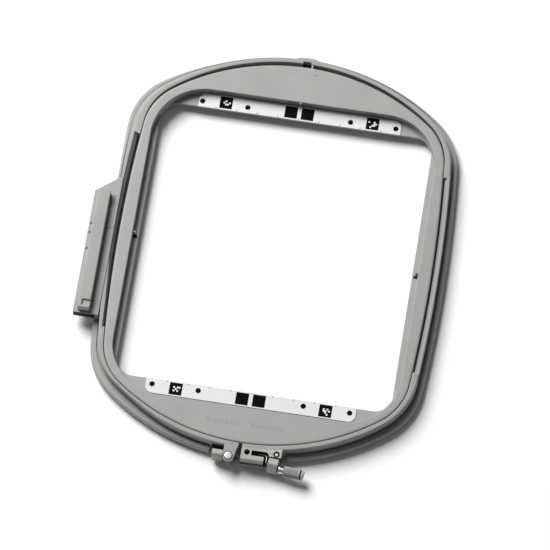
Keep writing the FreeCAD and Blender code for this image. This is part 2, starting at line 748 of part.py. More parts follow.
# ----------------------------------------------------------------------------- draw bar and bracket
def make_draw_bar():
    """Eye bolt that the lever pulls. It lies along its own X axis, from the cam pin outward."""
    low = "bar_z - eye_half_height"
    eye = cylinder("bar_eye", "eye_radius", "2 * eye_half_height", "0", "0", low)
    shank = rod("bar_shank", "bar_radius", "1.6", "bar_length - 1.6")
    hole = cylinder("bar_eye_hole", "pin_radius + running_gap", "4 * eye_half_height", "0", "0",
                    "bar_z - 2 * eye_half_height")
    bar = subtract("bar", fuse("bar_body", [eye, shank]), hole)
    place(bar, SIZES["cam_x"], SIZES["cam_y"], turn=SIZES["bar_tilt"])
    return name_node(bar, "draw_bar")


def make_clamp_bracket():
    """Block on the right of the gap: it carries the swivel block and the spring behind it."""
    body = new_body("clamp_bracket")
    outline = [
        ("split_right", "6 - rim_front"),
        ("split_right", "bracket_front"),
        ("bracket_step_x", "bracket_front"),
        ("bracket_step_x", "bracket_step_y"),
        ("bracket_right", "bracket_step_y"),
        ("bracket_right", "6 - rim_front"),
    ]
    grow(body, "ear_bottom", "frame_top", draw_polygon, outline)
    cut(body, "ear_bottom", "frame_top", draw_oval, RIM)
    cut(body, "ear_bottom", "tongue_top", draw_box, "tongue_left", "tongue_front", "tongue_right",
        "6 - rim_front")
    pocket = [
        ("pocket_left", "pocket_back"),
        ("pocket_left", "pocket_front"),
        ("pocket_mouth", "pocket_front"),
        ("pocket_mouth", "bracket_front - 1"),
        ("bracket_step_x + 1", "bracket_front - 1"),
        ("bracket_step_x + 1", "bracket_step_y + 1.4"),
        ("bracket_step_x - 1", "pocket_back"),
    ]
    cut(body, "pocket_bottom", "frame_top", draw_polygon, pocket)
    cut(body, "channel_low", "channel_high", draw_box, "split_right - 1", "bracket_front - 1",
        "bracket_step_x + 1", "channel_back")
    cut(body, "swivel_recess_low", "swivel_recess_high", draw_box, "swivel_x - swivel_hub_radius - 0.7",
        "bracket_step_y - 1", "bracket_right + 1", "swivel_recess_back")
    cut(body, "ear_bottom", "frame_top", draw_circle, "swivel_x", "swivel_y", "swivel_pin_radius")
    cut(body, "frame_top - 1.2", "frame_top", draw_circle, "swivel_x", "swivel_y", "swivel_hub_radius")
    cut(body, "tongue_top", "frame_top", draw_circle, "screw_x", "screw_y", "pin_radius")
    cut(body, "frame_top / 2", "frame_top", draw_circle, "screw_x", "screw_y", "screw_recess_radius")
    return body


def make_bracket_screw():
    """Socket-head screw sunk in the bracket."""
    shank = cylinder("bracket_screw_shank", "pin_radius", "frame_top / 2", "screw_x", "screw_y", "0.4")
    head = cylinder("bracket_screw_head", "screw_head_radius", "3", "screw_x", "screw_y", "frame_top / 2")
    socket = cylinder("bracket_screw_socket", "1.3", "2", "screw_x", "screw_y", "frame_top / 2 + 1.6")
    return name_node(subtract("bracket_screw_body", fuse("bracket_screw_blank", [shank, head]), socket),
                     "bracket_screw")


def make_leaf_spring():
    """Bent spring strip that pushes the swivel block outward."""
    body = new_body("leaf_spring")
    left, back = "spring_left", "spring_back"
    right, low = "spring_bend_x + spring_bend", f"{back} - spring_bend"
    thick = "spring_thickness"
    outline = [
        (left, back),
        ("spring_bend_x", back),
        (right, low),
        (right, "bracket_front + 2"),
        (f"{right} - {thick}", "bracket_front + 2"),
        (f"{right} - {thick}", f"{low} + {thick} / 2"),
        (f"spring_bend_x - {thick} / 2", f"{back} - {thick}"),
        (left, f"{back} - {thick}"),
    ]
    grow(body, "ear_slot_low", "ear_slot_high", draw_polygon, outline)
    return body


def make_swivel_pin():
    pin = cylinder("swivel_pin_body", "swivel_pin_radius", "frame_top - 0.5 - ear_bottom", "swivel_x",
                   "swivel_y", "ear_bottom")
    return name_node(pin, "swivel_pin")


def make_swivel_block():
    """Block that turns on its pin and lets the draw bar through. Its X axis is the bar's."""
    body = new_body("swivel_block")
    left, right = "0 - block_left", "block_right"
    grow(body, "swivel_low", "swivel_high", draw_circle, "0", "0", "swivel_hub_radius")
    grow(body, "swivel_low", "swivel_high", draw_box, "0 - swivel_hub_radius + 0.6",
         "0 - block_back - 1", "swivel_hub_radius - 0.6", "0 - 0.5")
    grow(body, "block_bottom", "block_top", draw_box, left, "0 - block_front", right, "0 - block_back")
    chamfer = [
        ("0 - block_front", "block_top"),
        ("0 - block_front", "block_top - block_chamfer"),
        ("block_chamfer - block_front", "block_top"),
    ]
    cut(body, left, right, draw_polygon, chamfer, role="YZ_Plane")
    cut(body, "swivel_low", "swivel_high", draw_circle, "0", "0", "swivel_pin_radius + running_gap")
    cut(body, left, right, draw_circle, "0 - bar_offset", "bar_z", "bar_hole_radius", role="YZ_Plane")
    place(body, SIZES["swivel_x"], SIZES["swivel_y"], turn=SIZES["bar_tilt"])
    return body


# ----------------------------------------------------------------------------- knob
def on_the_bar(shape):
    place(shape, SIZES["cam_x"], SIZES["cam_y"], turn=SIZES["bar_tilt"])
    return shape


def make_thrust_washer():
    """Bright collar between the swivel block and the knob."""
    disc = rod("washer_disc", "washer_radius", "washer_start", "washer_thickness")
    sleeve = rod("washer_sleeve", "collar_radius", "washer_start", "collar_length")
    hole = rod("washer_hole", "bar_radius + 2 * running_gap", "washer_start - 1", "collar_length + 2")
    washer = subtract("washer", fuse("washer_blank", [disc, sleeve]), hole)
    return name_node(on_the_bar(washer), "thrust_washer")


def make_adjusting_knob():
    """Fluted thumb knob, bored for its threaded insert and for the end of the bar."""
    body = new_body("adjusting_knob")
    end = "knob_start + knob_length"
    grow(body, "knob_start", end, draw_circle, "0", "bar_z", "knob_radius", role="YZ_Plane")
    cut(body, "knob_start", "knob_start + insert_length", draw_circle, "0", "bar_z", "insert_radius",
        role="YZ_Plane")
    cut(body, "knob_start + insert_length", f"{end} - 1.2", draw_circle, "0", "bar_z",
        "bar_radius + 0.4", role="YZ_Plane")
    cut(body, "end_ring_start", "end_ring_start + end_ring_width",
        ring((draw_circle, ("0", "bar_z", "knob_radius + 1")), (draw_circle, ("0", "bar_z", "end_ring_inner"))),
        role="YZ_Plane")
    flute = cut(body, "knob_start + 1.5", "end_ring_start - 1", draw_circle, "0",
                "bar_z + knob_radius + 0.2", "flute_radius", role="YZ_Plane")
    flutes = body.newObject("PartDesign::PolarPattern", "knob_flutes")
    flutes.Originals = [flute]
    flutes.Axis = (knob_axis(body), ["Edge1"])
    flutes.Angle = 360
    flutes.Occurrences = KNOB_FLUTES
    body.Tip = flutes
    doc.recompute()
    return on_the_bar(body)


def knob_axis(body):
    """A construction line down the middle of the knob, for its flutes to turn about."""
    axis = body.newObject("Sketcher::SketchObject", "knob_axis")
    plane = [item for item in body.Origin.OriginFeatures if item.Role == "XZ_Plane"][0]
    axis.AttachmentSupport = [(plane, "")]
    axis.MapMode = "FlatFace"
    start, end = FreeCAD.Vector(value("knob_start"), value("bar_z"), 0), FreeCAD.Vector(0, value("bar_z"), 0)
    line = axis.addGeometry(Part.LineSegment(start, end), False)
    pin_point(axis, line, 1, "knob_start", "bar_z")
    axis.addConstraint(Sketcher.Constraint("Horizontal", line))
    doc.recompute()
    return axis


def make_knob_insert():
    """Threaded brass insert that rides on the bar inside the knob."""
    shell = rod("insert_shell", "insert_radius", "knob_start", "insert_length")
    bore = rod("insert_bore", "bar_radius + running_gap", "knob_start - 1", "insert_length + 2")
    return name_node(on_the_bar(subtract("insert_body", shell, bore)), "knob_insert")


def make_knob_ring():
    """Dark ring in the groove near the knob's end."""
    outer = rod("ring_outer", "end_ring_outer", "end_ring_start", "end_ring_width")
    inner = rod("ring_inner", "end_ring_inner", "end_ring_start - 1", "end_ring_width + 2")
    return name_node(on_the_bar(subtract("ring_body", outer, inner)), "knob_end_ring")


# ----------------------------------------------------------------------------- build and export
make_inner_frame()
make_strip("scale_strip_back", 1)
make_strip("scale_strip_front", -1)
make_ring_half("outer_ring_left", -1)
make_ring_half("outer_ring_right", 1)
make_connector_base()
make_connector_rail()
make_latch_plate()
make_connector_screws()
make_code_pins()
make_lever_pivots()
make_clamp_lever()
make_cam_pin()
make_draw_bar()
make_clamp_bracket()
make_bracket_screw()
make_leaf_spring()
make_swivel_pin()
make_swivel_block()
make_thrust_washer()
make_adjusting_knob()
make_knob_insert()
make_knob_ring()

doc.recompute()
for item in doc.Objects:
    if "Invalid" in item.State or "Error" in item.State:
        raise RuntimeError(f"{item.Label} failed: {item.State}")
for node in nodes:
    if node.Shape.isNull() or not node.Shape.isValid():
        raise RuntimeError(f"{node.Label} has no valid shape")

os.makedirs("parts", exist_ok=True)
for node in nodes:
    node.Shape.exportStep(f"parts/{node.Label}.step")
    print(f"{node.Label}: {len(node.Shape.Solids)} solid(s), {node.Shape.Volume:.0f} mm3")
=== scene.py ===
import bmesh
import bpy
import math
import numpy as np
from mathutils import Matrix, Vector


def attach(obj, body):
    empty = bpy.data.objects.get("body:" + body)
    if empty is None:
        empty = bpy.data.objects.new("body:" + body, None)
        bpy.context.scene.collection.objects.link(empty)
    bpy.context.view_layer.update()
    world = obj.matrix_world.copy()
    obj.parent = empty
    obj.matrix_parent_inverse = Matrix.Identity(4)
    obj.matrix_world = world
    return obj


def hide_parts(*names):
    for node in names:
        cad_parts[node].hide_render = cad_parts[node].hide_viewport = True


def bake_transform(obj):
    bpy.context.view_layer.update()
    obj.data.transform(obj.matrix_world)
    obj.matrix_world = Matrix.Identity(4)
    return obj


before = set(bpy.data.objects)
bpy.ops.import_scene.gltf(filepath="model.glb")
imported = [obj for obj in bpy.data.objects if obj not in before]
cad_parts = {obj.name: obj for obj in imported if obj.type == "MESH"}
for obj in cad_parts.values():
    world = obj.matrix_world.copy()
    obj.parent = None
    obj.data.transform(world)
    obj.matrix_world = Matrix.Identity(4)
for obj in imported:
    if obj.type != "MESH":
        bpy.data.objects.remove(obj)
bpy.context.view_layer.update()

# Embroidery hoop. Its sizes are in millimetres and become metres when a mesh is made; the studio and
# the camera are in metres. +X points away from the carriage, +Y to the back of the hoop and +Z up.
MM = 0.001
SHARP = 35.0
# how many rays a moulding is sampled on, and how many points an outline has on each arc
RAYS, SIDE_POINTS, ARC_POINTS = 900, 300, 400

# inner frame
HALF_WIDTH, REACH, REACH_BACK, SIDE_RADIUS, END_RADIUS, CORNER = 150.0, 195.0, 194.3, 1430.0, 205.0, 55.0
# half width, reach to the back, reach to the front and corner radius
WINDOW = (137.3, 157.0, 160.0, 52.0)
OPENING = (131.5, 141.4, 141.4, 17.0)
# the groove under the window's upper edge: how far out and how far below the top
UNDERCUT = ((0, 1.2), (0.8, 1.6), (0.9, 4.2), (0.0, 6.6))
MARK_ROW, MARK_GAP = -178.2, 1.9
TOP, BOTTOM, WALL = 16.0, 0.5, 2.4
LEDGE_TOP, LEDGE_BOTTOM = 7.0, 4.6
# strips
STRIP_WIDTH, STRIP_TOP, STRIP_CORNER, INK = 14.6, 7.76, 7.0, 0.015
STRIP_ENDS = {"back": (-97.4, 98.8), "front": (-100.0, 100.0)}
CODE_SIZE, CODE_GRID, CODE_ROW, CODE_PLACE, SQUARE_PLACE = 12.2, 7, 148.8, 71.2, 8
DOT_ROW, DOT_RADIUS, DOT_PLACES = 147.2, 2.6, (-94, -50, 50, 94)
TICK_REACH, TICK_STEP, TICK_HALF_WIDTH = 80, 20, 0.7
# outer ring
GAP, BORE_BACK, BORE_BACK_RADIUS = 0.35, 197.6, 200.0
# half width, reach to the front, reach to the back and corner radius
RIM = (158.3, 200.5, 201.5, 61.0)
RIM_CENTRE = END_RADIUS - REACH
FLANGE = (163.0, 207.0, 207.0, 66.0)
FLANGE_TOP, SKIRT, HOLLOW_TOP = 6.0, 2.0, 3.6
SLOT_HALF_LENGTH, SLOT_FOOT, SLOT_BOTTOM, SLOT_TAPER = 100.0, 12.4, 2.4, 0.55
# each pair is for the left side and the right side
SLOT_WIDTH, SLOT_FOOT_WIDTH, RIM_STEP = (5.2, 3.4), (2.8, 1.2), (2.4, 1.6)
CORNER_SWELL = 4.2
GROOVE_WIDTH, GROOVE_SPREAD, GROOVE_DEPTH = 1.4, 3.2, 1.6
BUMP_HALF, BUMP_REACH, NOTCH_HALF, NOTCH_REACH = 11.5, 204.8, 4.0, 199.8
SPLIT_LEFT, SPLIT_RIGHT = -3.5, 0.1
CLEAR_LEFT, CLEAR_RIGHT = -28.5, 40.0
# clamp
CLAMP_BOTTOM = 0.6
PIVOT = (-11.2, -209.6)
EAR_RADIUS = 5.3
# left, right, front and back
LEVER = (-27.0, -16.9, -211.2, -204.6)
CHEEKS, EYE_ROOM = (4.3, 11.7), (6.3, 9.7)
CAM_THROW, CAM_ANGLE = 3.5, math.radians(160)
BAR_TILT, BAR_HEIGHT, BAR_RADIUS, BAR_LENGTH = math.radians(-5.6), 8.0, 1.5, 72.8
THREAD_START, THREAD_PITCH, THREAD_DEPTH = 8.0, 1.0, 0.28
BRACKET_FRONT, BRACKET_MOUTH, CHANNEL = -212.0, 21.9, (5.2, 10.8)
SCREW = (5.5, -203.3)
SWIVEL = (33.2, -201.8)
CAM = (PIVOT[0] + CAM_THROW * math.cos(CAM_ANGLE), PIVOT[1] + CAM_THROW * math.sin(CAM_ANGLE))
WASHER_START, KNOB_START, KNOB_END, KNOB_RADIUS = 51.7, 56.3, 76.0, 4.8
END_RING_START = 72.2
FLUTES, FLUTE_DEPTH = 24, 0.42
RIB_WIDTH, RIB_PITCH = 0.6, 1.5
# connector
PLATE_LEFT, PLATE_RIGHT, PLATE_FRONT, PLATE_BACK = -179.5, -155.2, -90.0, 52.5
PLATE_BOTTOM, PLATE_TOP, RAIL_TOP, POCKET_FLOOR = 7.5, 17.0, 26.0, 23.6
# left, front, right and back
RAIL = (-175.2, -88.0, -163.5, 34.0)
RAIL_POCKET = (-171.4, -85.2, -160.0, -79.6)
CATCH_PLATE = (-171.0, -84.8, -163.9, -80.0)
PIN_LINE, CODE_PINS = -177.3, (1.4, -8.1, -24.5)
SCREW_LINE, CONNECTOR_SCREWS = -167.4, (22.0, -28.0, -76.0)
HATCH_START, HATCH_STEP, HATCH_RIBS = 23.0, 1.9, 6


# ------------------------------------------------------------------ outlines
def corner_centre(half_width, side, reach, end, corner):
    """Centre of the arc that touches a side arc and an end arc from inside."""
    side_x, end_y = half_width - side, reach - end
    far, near = side - corner, end - corner
    gap = math.hypot(side_x, end_y)
    along = (far ** 2 - near ** 2 + gap ** 2) / (2 * gap)
    across = math.sqrt(far ** 2 - along ** 2)
    unit_x, unit_y = -side_x / gap, end_y / gap
    return side_x + along * unit_x - across * unit_y, along * unit_y + across * unit_x


def arc(centre, radius, start, end, count):
    """Points along an arc, from one angle to another."""
    turn = np.linspace(start, end, count)
    return np.column_stack((centre[0] + radius * np.cos(turn), centre[1] + radius * np.sin(turn)))


def polar(points):
    """An outline about the origin as sorted angles with their radii."""
    angle = np.arctan2(points[:, 1], points[:, 0])
    order = np.argsort(angle)
    return angle[order], np.hypot(points[:, 0], points[:, 1])[order]


def hoop(half_width, front, back, corner, back_radius=None):
    """The hoop's outline: long side arcs, a front and a back arc, and four corner arcs."""
    side = SIDE_RADIUS + half_width - HALF_WIDTH

    def quarter(reach, end):
        spot = corner_centre(half_width, side, reach, end, corner)
        low = math.atan2(spot[1], spot[0] - half_width + side)
        high = math.atan2(spot[1] - reach + end, spot[0])
        return np.vstack((
            arc((half_width - side, 0), side, 0, low, SIDE_POINTS),
            arc(spot, corner, low, high, ARC_POINTS),
            arc((0, reach - end), end, high, math.pi / 2, ARC_POINTS),
        ))

    upper = quarter(back, back_radius or END_RADIUS + back - REACH)
    lower = quarter(front, END_RADIUS + front - REACH) * (1, -1)
    return polar(np.vstack((upper, upper * (-1, 1), lower, lower * (-1, 1))))


def round_box(half_width, back, front, corner):
    """A rectangle with rounded corners, with enough points along its straight sides."""
    pieces = []
    for number, (x, y) in enumerate(((1, back), (-1, back), (-1, -front), (1, -front))):
        spot = (x * (half_width - corner), y - math.copysign(corner, y))
        pieces.append(arc(spot, corner, number * math.pi / 2, (number + 1) * math.pi / 2, 200))
    loop = np.vstack(pieces + [pieces[0][:1]])
    dense = [np.linspace(a, b, 60, endpoint=False) if np.hypot(*(b - a)) > 5 else a[None]
             for a, b in zip(loop[:-1], loop[1:])]
    return polar(np.vstack(dense))


def radii(outline, rays):
    """How far out the outline is on each ray."""
    return np.interp(rays, outline[0], outline[1], period=2 * math.pi)


def level(radius, rays, height):
    """One ring of points at a height."""
    high = np.broadcast_to(height, rays.shape)
    return np.column_stack((radius * np.cos(rays), radius * np.sin(rays), high))


def ease(value, low, high):
    """A smooth rise from 0 at low to 1 at high."""
    share = np.clip((value - low) / (high - low), 0, 1)
    return share * share * (3 - 2 * share)


def rays_between(start, end, count, close_spots):
    """Evenly spaced rays, with more of them next to the spots where the shape changes quickly."""
    rays = [np.linspace(start, end, count)]
    for x, y in close_spots:
        middle = math.atan2(y, x)
        rays.append(middle + np.linspace(-0.02, 0.02, 41))
    full = np.unique(np.round(np.mod(np.concatenate(rays) - start, 2 * math.pi), 6))
    return start + full[full <= end - start + 1e-6]


# ------------------------------------------------------------------ mesh tools
def new_piece(name, vertices, faces):
    """A smooth shaded object from points in millimetres."""
    mesh = bpy.data.meshes.new(name)
    mesh.from_pydata([tuple(vertex) for vertex in np.asarray(vertices, float) * MM], [], faces)
    shape = bmesh.new()
    shape.from_mesh(mesh)
    bmesh.ops.remove_doubles(shape, verts=shape.verts, dist=1e-7)
    bmesh.ops.recalc_face_normals(shape, faces=shape.faces)
    shape.to_mesh(mesh)
    shape.free()
    piece = bpy.data.objects.new(name, mesh)
    bpy.context.scene.collection.objects.link(piece)
    shade(piece)
    return piece


def shade(piece):
    """Shade smooth, with a crease where faces meet at more than SHARP degrees."""
    piece.data.shade_smooth()
    piece.data.set_sharp_from_angle(angle=math.radians(SHARP))


def weigh(piece):
    """Keep broad faces flat where they meet small round ones."""
    modifier = piece.modifiers.new("weighted", "WEIGHTED_NORMAL")
    modifier.keep_sharp = True
    bake(piece)


def bake(piece):
    """Apply the piece's modifiers to its mesh."""
    graph = bpy.context.evaluated_depsgraph_get()
    mesh = bpy.data.meshes.new_from_object(piece.evaluated_get(graph))
    piece.modifiers.clear()
    piece.data = mesh


def loft(name, rings, open_ends=False):
    """Skin a closed section, given ring by ring, around a loop or from one end to the other."""
    count, rows = len(rings[0]), len(rings)
    faces = []
    for row in range(rows):
        here, there = row * count, (row + 1) % rows * count
        for step in range(count - 1 if open_ends else count):
            after = (step + 1) % count
            faces.append((here + step, here + after, there + after, there + step))
    if open_ends:
        faces.append([row * count for row in range(rows)])
        faces.append([row * count + count - 1 for row in reversed(range(rows))])
    piece = new_piece(name, np.vstack(rings), faces)
    weigh(piece)
    return piece


def prism(name, outline, low, high):
    """An upright solid on a closed outline."""
    count = len(outline)
    vertices = [(x, y, low) for x, y in outline] + [(x, y, high) for x, y in outline]
    faces = [list(range(count))[::-1], list(range(count, 2 * count))]
    for step in range(count):
        after = (step + 1) % count
        faces.append((step, after, count + after, count + step))
    return new_piece(name, vertices, faces)


def box_outline(left, front, right, back):
    """The four corners of an upright box."""
    return [(left, front), (right, front), (right, back), (left, back)]


def inset(outline, amount):
    """Move every side of an outline inward."""
    spots = np.array(outline, float)
    run = np.roll(spots, -1, axis=0) - spots
    area = np.sum(spots[:, 0] * np.roll(spots[:, 1], -1) - spots[:, 1] * np.roll(spots[:, 0], -1))
    way = np.column_stack((-run[:, 1], run[:, 0])) / np.hypot(run[:, 0], run[:, 1])[:, None]
    way *= math.copysign(1, area)
    before = np.roll(way, 1, axis=0)
    shift = (way + before) / (1 + np.sum(way * before, axis=1))[:, None]
    return [tuple(spot) for spot in spots + shift * amount]


def ribbon(path, thickness):
    """The outline of a strip of even thickness along a path."""
    spots = np.array(path)
    run = np.gradient(spots, axis=0)
    run /= np.hypot(run[:, 0], run[:, 1])[:, None]
    side = np.column_stack((-run[:, 1], run[:, 0])) * thickness / 2
    return [tuple(spot) for spot in np.vstack((spots + side, (spots - side)[::-1]))]


def side_prism(name, outline, left, right):
    """A solid on a closed outline of (y, z), from left to right."""
    count = len(outline)
    vertices = [(left, y, z) for y, z in outline] + [(right, y, z) for y, z in outline]
    faces = [list(range(count)), list(range(count, 2 * count))[::-1]]
    for step in range(count):
        after = (step + 1) % count
        faces.append((step, count + step, count + after, after))
    return new_piece(name, vertices, faces)


def disc_outline(x, y, radius, count=48):
    """A circle as a closed outline."""
    return [tuple(spot) for spot in arc((x, y), radius, 0, 2 * math.pi, count + 1)[:-1]]


def carve(piece, *cutters):
    """Cut solids out of the piece."""
    for cutter in cutters:
        modifier = piece.modifiers.new("carve", "BOOLEAN")
        modifier.operation = "DIFFERENCE"
        modifier.solver = "EXACT"
        modifier.object = cutter
        bake(piece)
        bpy.data.objects.remove(cutter)
    return piece


def join(piece, *others):
    """Unite solids into one piece."""
    for other in others:
        modifier = piece.modifiers.new("join", "BOOLEAN")
        modifier.operation = "UNION"
        modifier.solver = "EXACT"
        modifier.object = other
        bake(piece)
        bpy.data.objects.remove(other)
    return piece


def soften(piece, width, segments=3, angle=30.0):
    """Round the piece's edges."""
    modifier = piece.modifiers.new("round", "BEVEL")
    modifier.width = width * MM
    modifier.segments = segments
    modifier.limit_method = "ANGLE"
    modifier.angle_limit = math.radians(angle)
    modifier.use_clamp_overlap = True
    bake(piece)
    shade(piece)
    weigh(piece)
    return piece


def revolve(name, profile, steps=48, ripple=None):
    """Turn a profile of (distance, radius) about the X axis. ripple adds to the radius.

    A profile that ends where it starts makes a ring."""
    vertices, faces = [], []
    for along, radius in profile:
        for step in range(steps):
            turn = 2 * math.pi * step / steps
            reach = radius + (ripple(along, turn) if ripple and radius > 0 else 0)
            vertices.append((along, reach * math.cos(turn), reach * math.sin(turn)))
    for row in range(len(profile) - 1):
        for step in range(steps):
            after = (step + 1) % steps
            faces.append((row * steps + step, row * steps + after,
                          (row + 1) * steps + after, (row + 1) * steps + step))
    closed = profile[0] == profile[-1]
    for row in (0, len(profile) - 1):
        if profile[row][1] > 0 and not closed:
            faces.append([row * steps + step for step in range(steps)])
    return new_piece(name, vertices, faces)


def move(piece, x, y, z, turn=0.0):
    """Turn the piece about the Z axis, then shift it."""
    spin = Matrix.Rotation(turn, 4, "Z")
    piece.data.transform(Matrix.Translation(Vector((x, y, z)) * MM) @ spin)
    return piece


def stand(piece, x, y):
    """Turn a revolved piece upright over a spot: its distances become heights."""
    piece.data.transform(Matrix.Translation(Vector((x, y, 0)) * MM) @ Matrix.Rotation(-math.pi / 2, 4, "Y"))
    return piece


def along_bar(piece):
    """Lay a revolved piece along the draw bar."""
    return move(piece, CAM[0], CAM[1], BAR_HEIGHT, BAR_TILT)


def finish(piece, body, material, slot, *nodes):
    """Give the piece its material, its body, and the nodes that it stands in for. slot is not used."""
    piece.data.materials.clear()
    piece.data.materials.append(material)
    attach(piece, body)
    if nodes:
        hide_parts(*nodes)
    return piece


# ------------------------------------------------------------------ materials
# noise scales, per metre
MOTTLING, SPECKLE, GLOSS, GRAIN = 28.0, 1100.0, 220.0, 2600.0
# the middle of a noise, where most of its values are
NOISE_LOW, NOISE_HIGH = 0.3, 0.7
SPECKLE_SHADE, SPECKLE_SHARE = 0.93, 0.6
# metres
GRAIN_DEPTH = 0.00008


def node(tree, kind, **settings):
    """A shader node, with its input values and its own settings."""
    item = tree.nodes.new(kind)
    for key, setting in settings.items():
        if key in item.inputs:
            item.inputs[key].default_value = setting
        else:
            setattr(item, key, setting)
    return item


def noise(tree, place, scale, detail=2.0, stretch=(1, 1, 1)):
    """A noise in the piece's own coordinates."""
    mapping = node(tree, "ShaderNodeMapping")
    mapping.inputs["Scale"].default_value = stretch
    tree.links.new(place.outputs["Object"], mapping.inputs["Vector"])
    texture = node(tree, "ShaderNodeTexNoise", Scale=scale, Detail=detail)
    tree.links.new(mapping.outputs["Vector"], texture.inputs["Vector"])
    return texture.outputs["Fac"]


def spread(tree, source, low, high):
    """Map the middle of a noise onto a range."""
    mapped = node(tree, "ShaderNodeMapRange")
    mapped.inputs["From Min"].default_value = NOISE_LOW
    mapped.inputs["From Max"].default_value = NOISE_HIGH
    mapped.inputs["To Min"].default_value = low
    mapped.inputs["To Max"].default_value = high
    tree.links.new(source, mapped.inputs["Value"])
    return mapped.outputs["Result"]


def tint(tree, factor, dark, light):
    """Map the middle of a noise onto a range of colours."""
    ramp = node(tree, "ShaderNodeValToRGB")
    ramp.color_ramp.elements[0].position = NOISE_LOW
    ramp.color_ramp.elements[0].color = (*dark, 1)
    ramp.color_ramp.elements[1].position = NOISE_HIGH
    ramp.color_ramp.elements[1].color = (*light, 1)
    tree.links.new(factor, ramp.inputs["Fac"])
    return ramp.outputs["Color"]


def surface(name, colour, contrast=0.05, rough=(0.42, 0.54), relief=0.2, metal=0.0, stretch=(1, 1, 1),
            shine=0.5):
    """A surface with slow mottling, fine speckle, uneven gloss and a fine grain."""
    material = bpy.data.materials.new(name)
    material.use_nodes = True
    tree = material.node_tree
    tree.nodes.clear()
    output = node(tree, "ShaderNodeOutputMaterial")
    shader = node(tree, "ShaderNodeBsdfPrincipled", Metallic=metal)
    shader.inputs["Specular IOR Level"].default_value = shine
    tree.links.new(shader.outputs["BSDF"], output.inputs["Surface"])
    place = node(tree, "ShaderNodeTexCoord")
    dark = [part * (1 - contrast) for part in colour]
    light = [min(part * (1 + contrast), 1) for part in colour]
    slow = tint(tree, noise(tree, place, MOTTLING, 4.0), dark, light)
    speckle = tint(tree, noise(tree, place, SPECKLE, 2.0, stretch), [SPECKLE_SHADE] * 3, [1.0] * 3)
    mix = node(tree, "ShaderNodeMix", data_type="RGBA", blend_type="MULTIPLY")
    mix.inputs["Factor"].default_value = SPECKLE_SHARE
    tree.links.new(slow, mix.inputs["A"])
    tree.links.new(speckle, mix.inputs["B"])
    tree.links.new(mix.outputs["Result"], shader.inputs["Base Color"])
    tree.links.new(spread(tree, noise(tree, place, GLOSS, 3.0, stretch), *rough), shader.inputs["Roughness"])
    bump = node(tree, "ShaderNodeBump", Strength=relief, Distance=GRAIN_DEPTH)
    tree.links.new(noise(tree, place, GRAIN, 2.0, stretch), bump.inputs["Height"])
    tree.links.new(bump.outputs["Normal"], shader.inputs["Normal"])
    return material


ring_grey = surface("ring_grey", (0.285, 0.285, 0.275))
frame_grey = surface("frame_grey", (0.295, 0.295, 0.285))
# painted shade: the moulded marks are coloured darker than the plate in place of the shade beside their
# raised edges
mark_painted_shade = surface("mark_painted_shade", (0.255, 0.255, 0.245))
clamp_grey = surface("clamp_grey", (0.35, 0.35, 0.33))
knob_grey = surface("knob_grey", (0.30, 0.30, 0.285), contrast=0.08)
strip_white = surface("strip_white", (0.65, 0.65, 0.645), contrast=0.02, rough=(0.35, 0.45), relief=0.05)
print_black = surface("print_black", (0.003, 0.003, 0.003), contrast=0.2, rough=(0.75, 0.85), relief=0.05,
                      shine=0.05)
print_grey = surface("print_grey", (0.34, 0.34, 0.34), contrast=0.1, rough=(0.6, 0.7), relief=0.05)
# dark plastic for the knob's end ring; everywhere else this colour is painted shade: dark sheets, patches and
# rings in holes, recesses and gaps that are only in shade
dark_plastic = surface("dark_plastic", (0.012, 0.012, 0.012), contrast=0.2, rough=(0.6, 0.75), shine=0.1)
# dark steel for the bracket's screw head; on the draw bar's rod this dark colour is painted shade, so that
# the rod reads as shade where it shows in the bracket's channel
dark_steel = surface("dark_steel", (0.10, 0.10, 0.10), rough=(0.35, 0.5), metal=1.0, relief=0.1)
bright_steel = surface("bright_steel", (0.72, 0.72, 0.71), rough=(0.3, 0.4), metal=1.0, relief=0.08,
                       stretch=(0.15, 1, 1))
satin_steel = surface("satin_steel", (0.40, 0.40, 0.395), rough=(0.4, 0.5), metal=1.0, relief=0.08)
pin_grey = surface("pin_grey", (0.16, 0.16, 0.16), contrast=0.1)
dull_steel = surface("dull_steel", (0.34, 0.34, 0.33), rough=(0.35, 0.5), metal=1.0, relief=0.1)
cap_pale = surface("cap_pale", (0.50, 0.50, 0.49), contrast=0.03, rough=(0.3, 0.4), relief=0.08)
brass = surface("brass", (0.72, 0.52, 0.24), rough=(0.25, 0.35), metal=1.0, relief=0.08)


# ------------------------------------------------------------------ inner frame
def quarter_turn(radius, steps=5):
    """Offsets across and down for a rounded edge, from the upright face to the flat one."""
    turn = np.linspace(0, math.pi / 2, steps)
    return [(radius * (1 - math.cos(value)), radius * (1 - math.sin(value))) for value in turn]


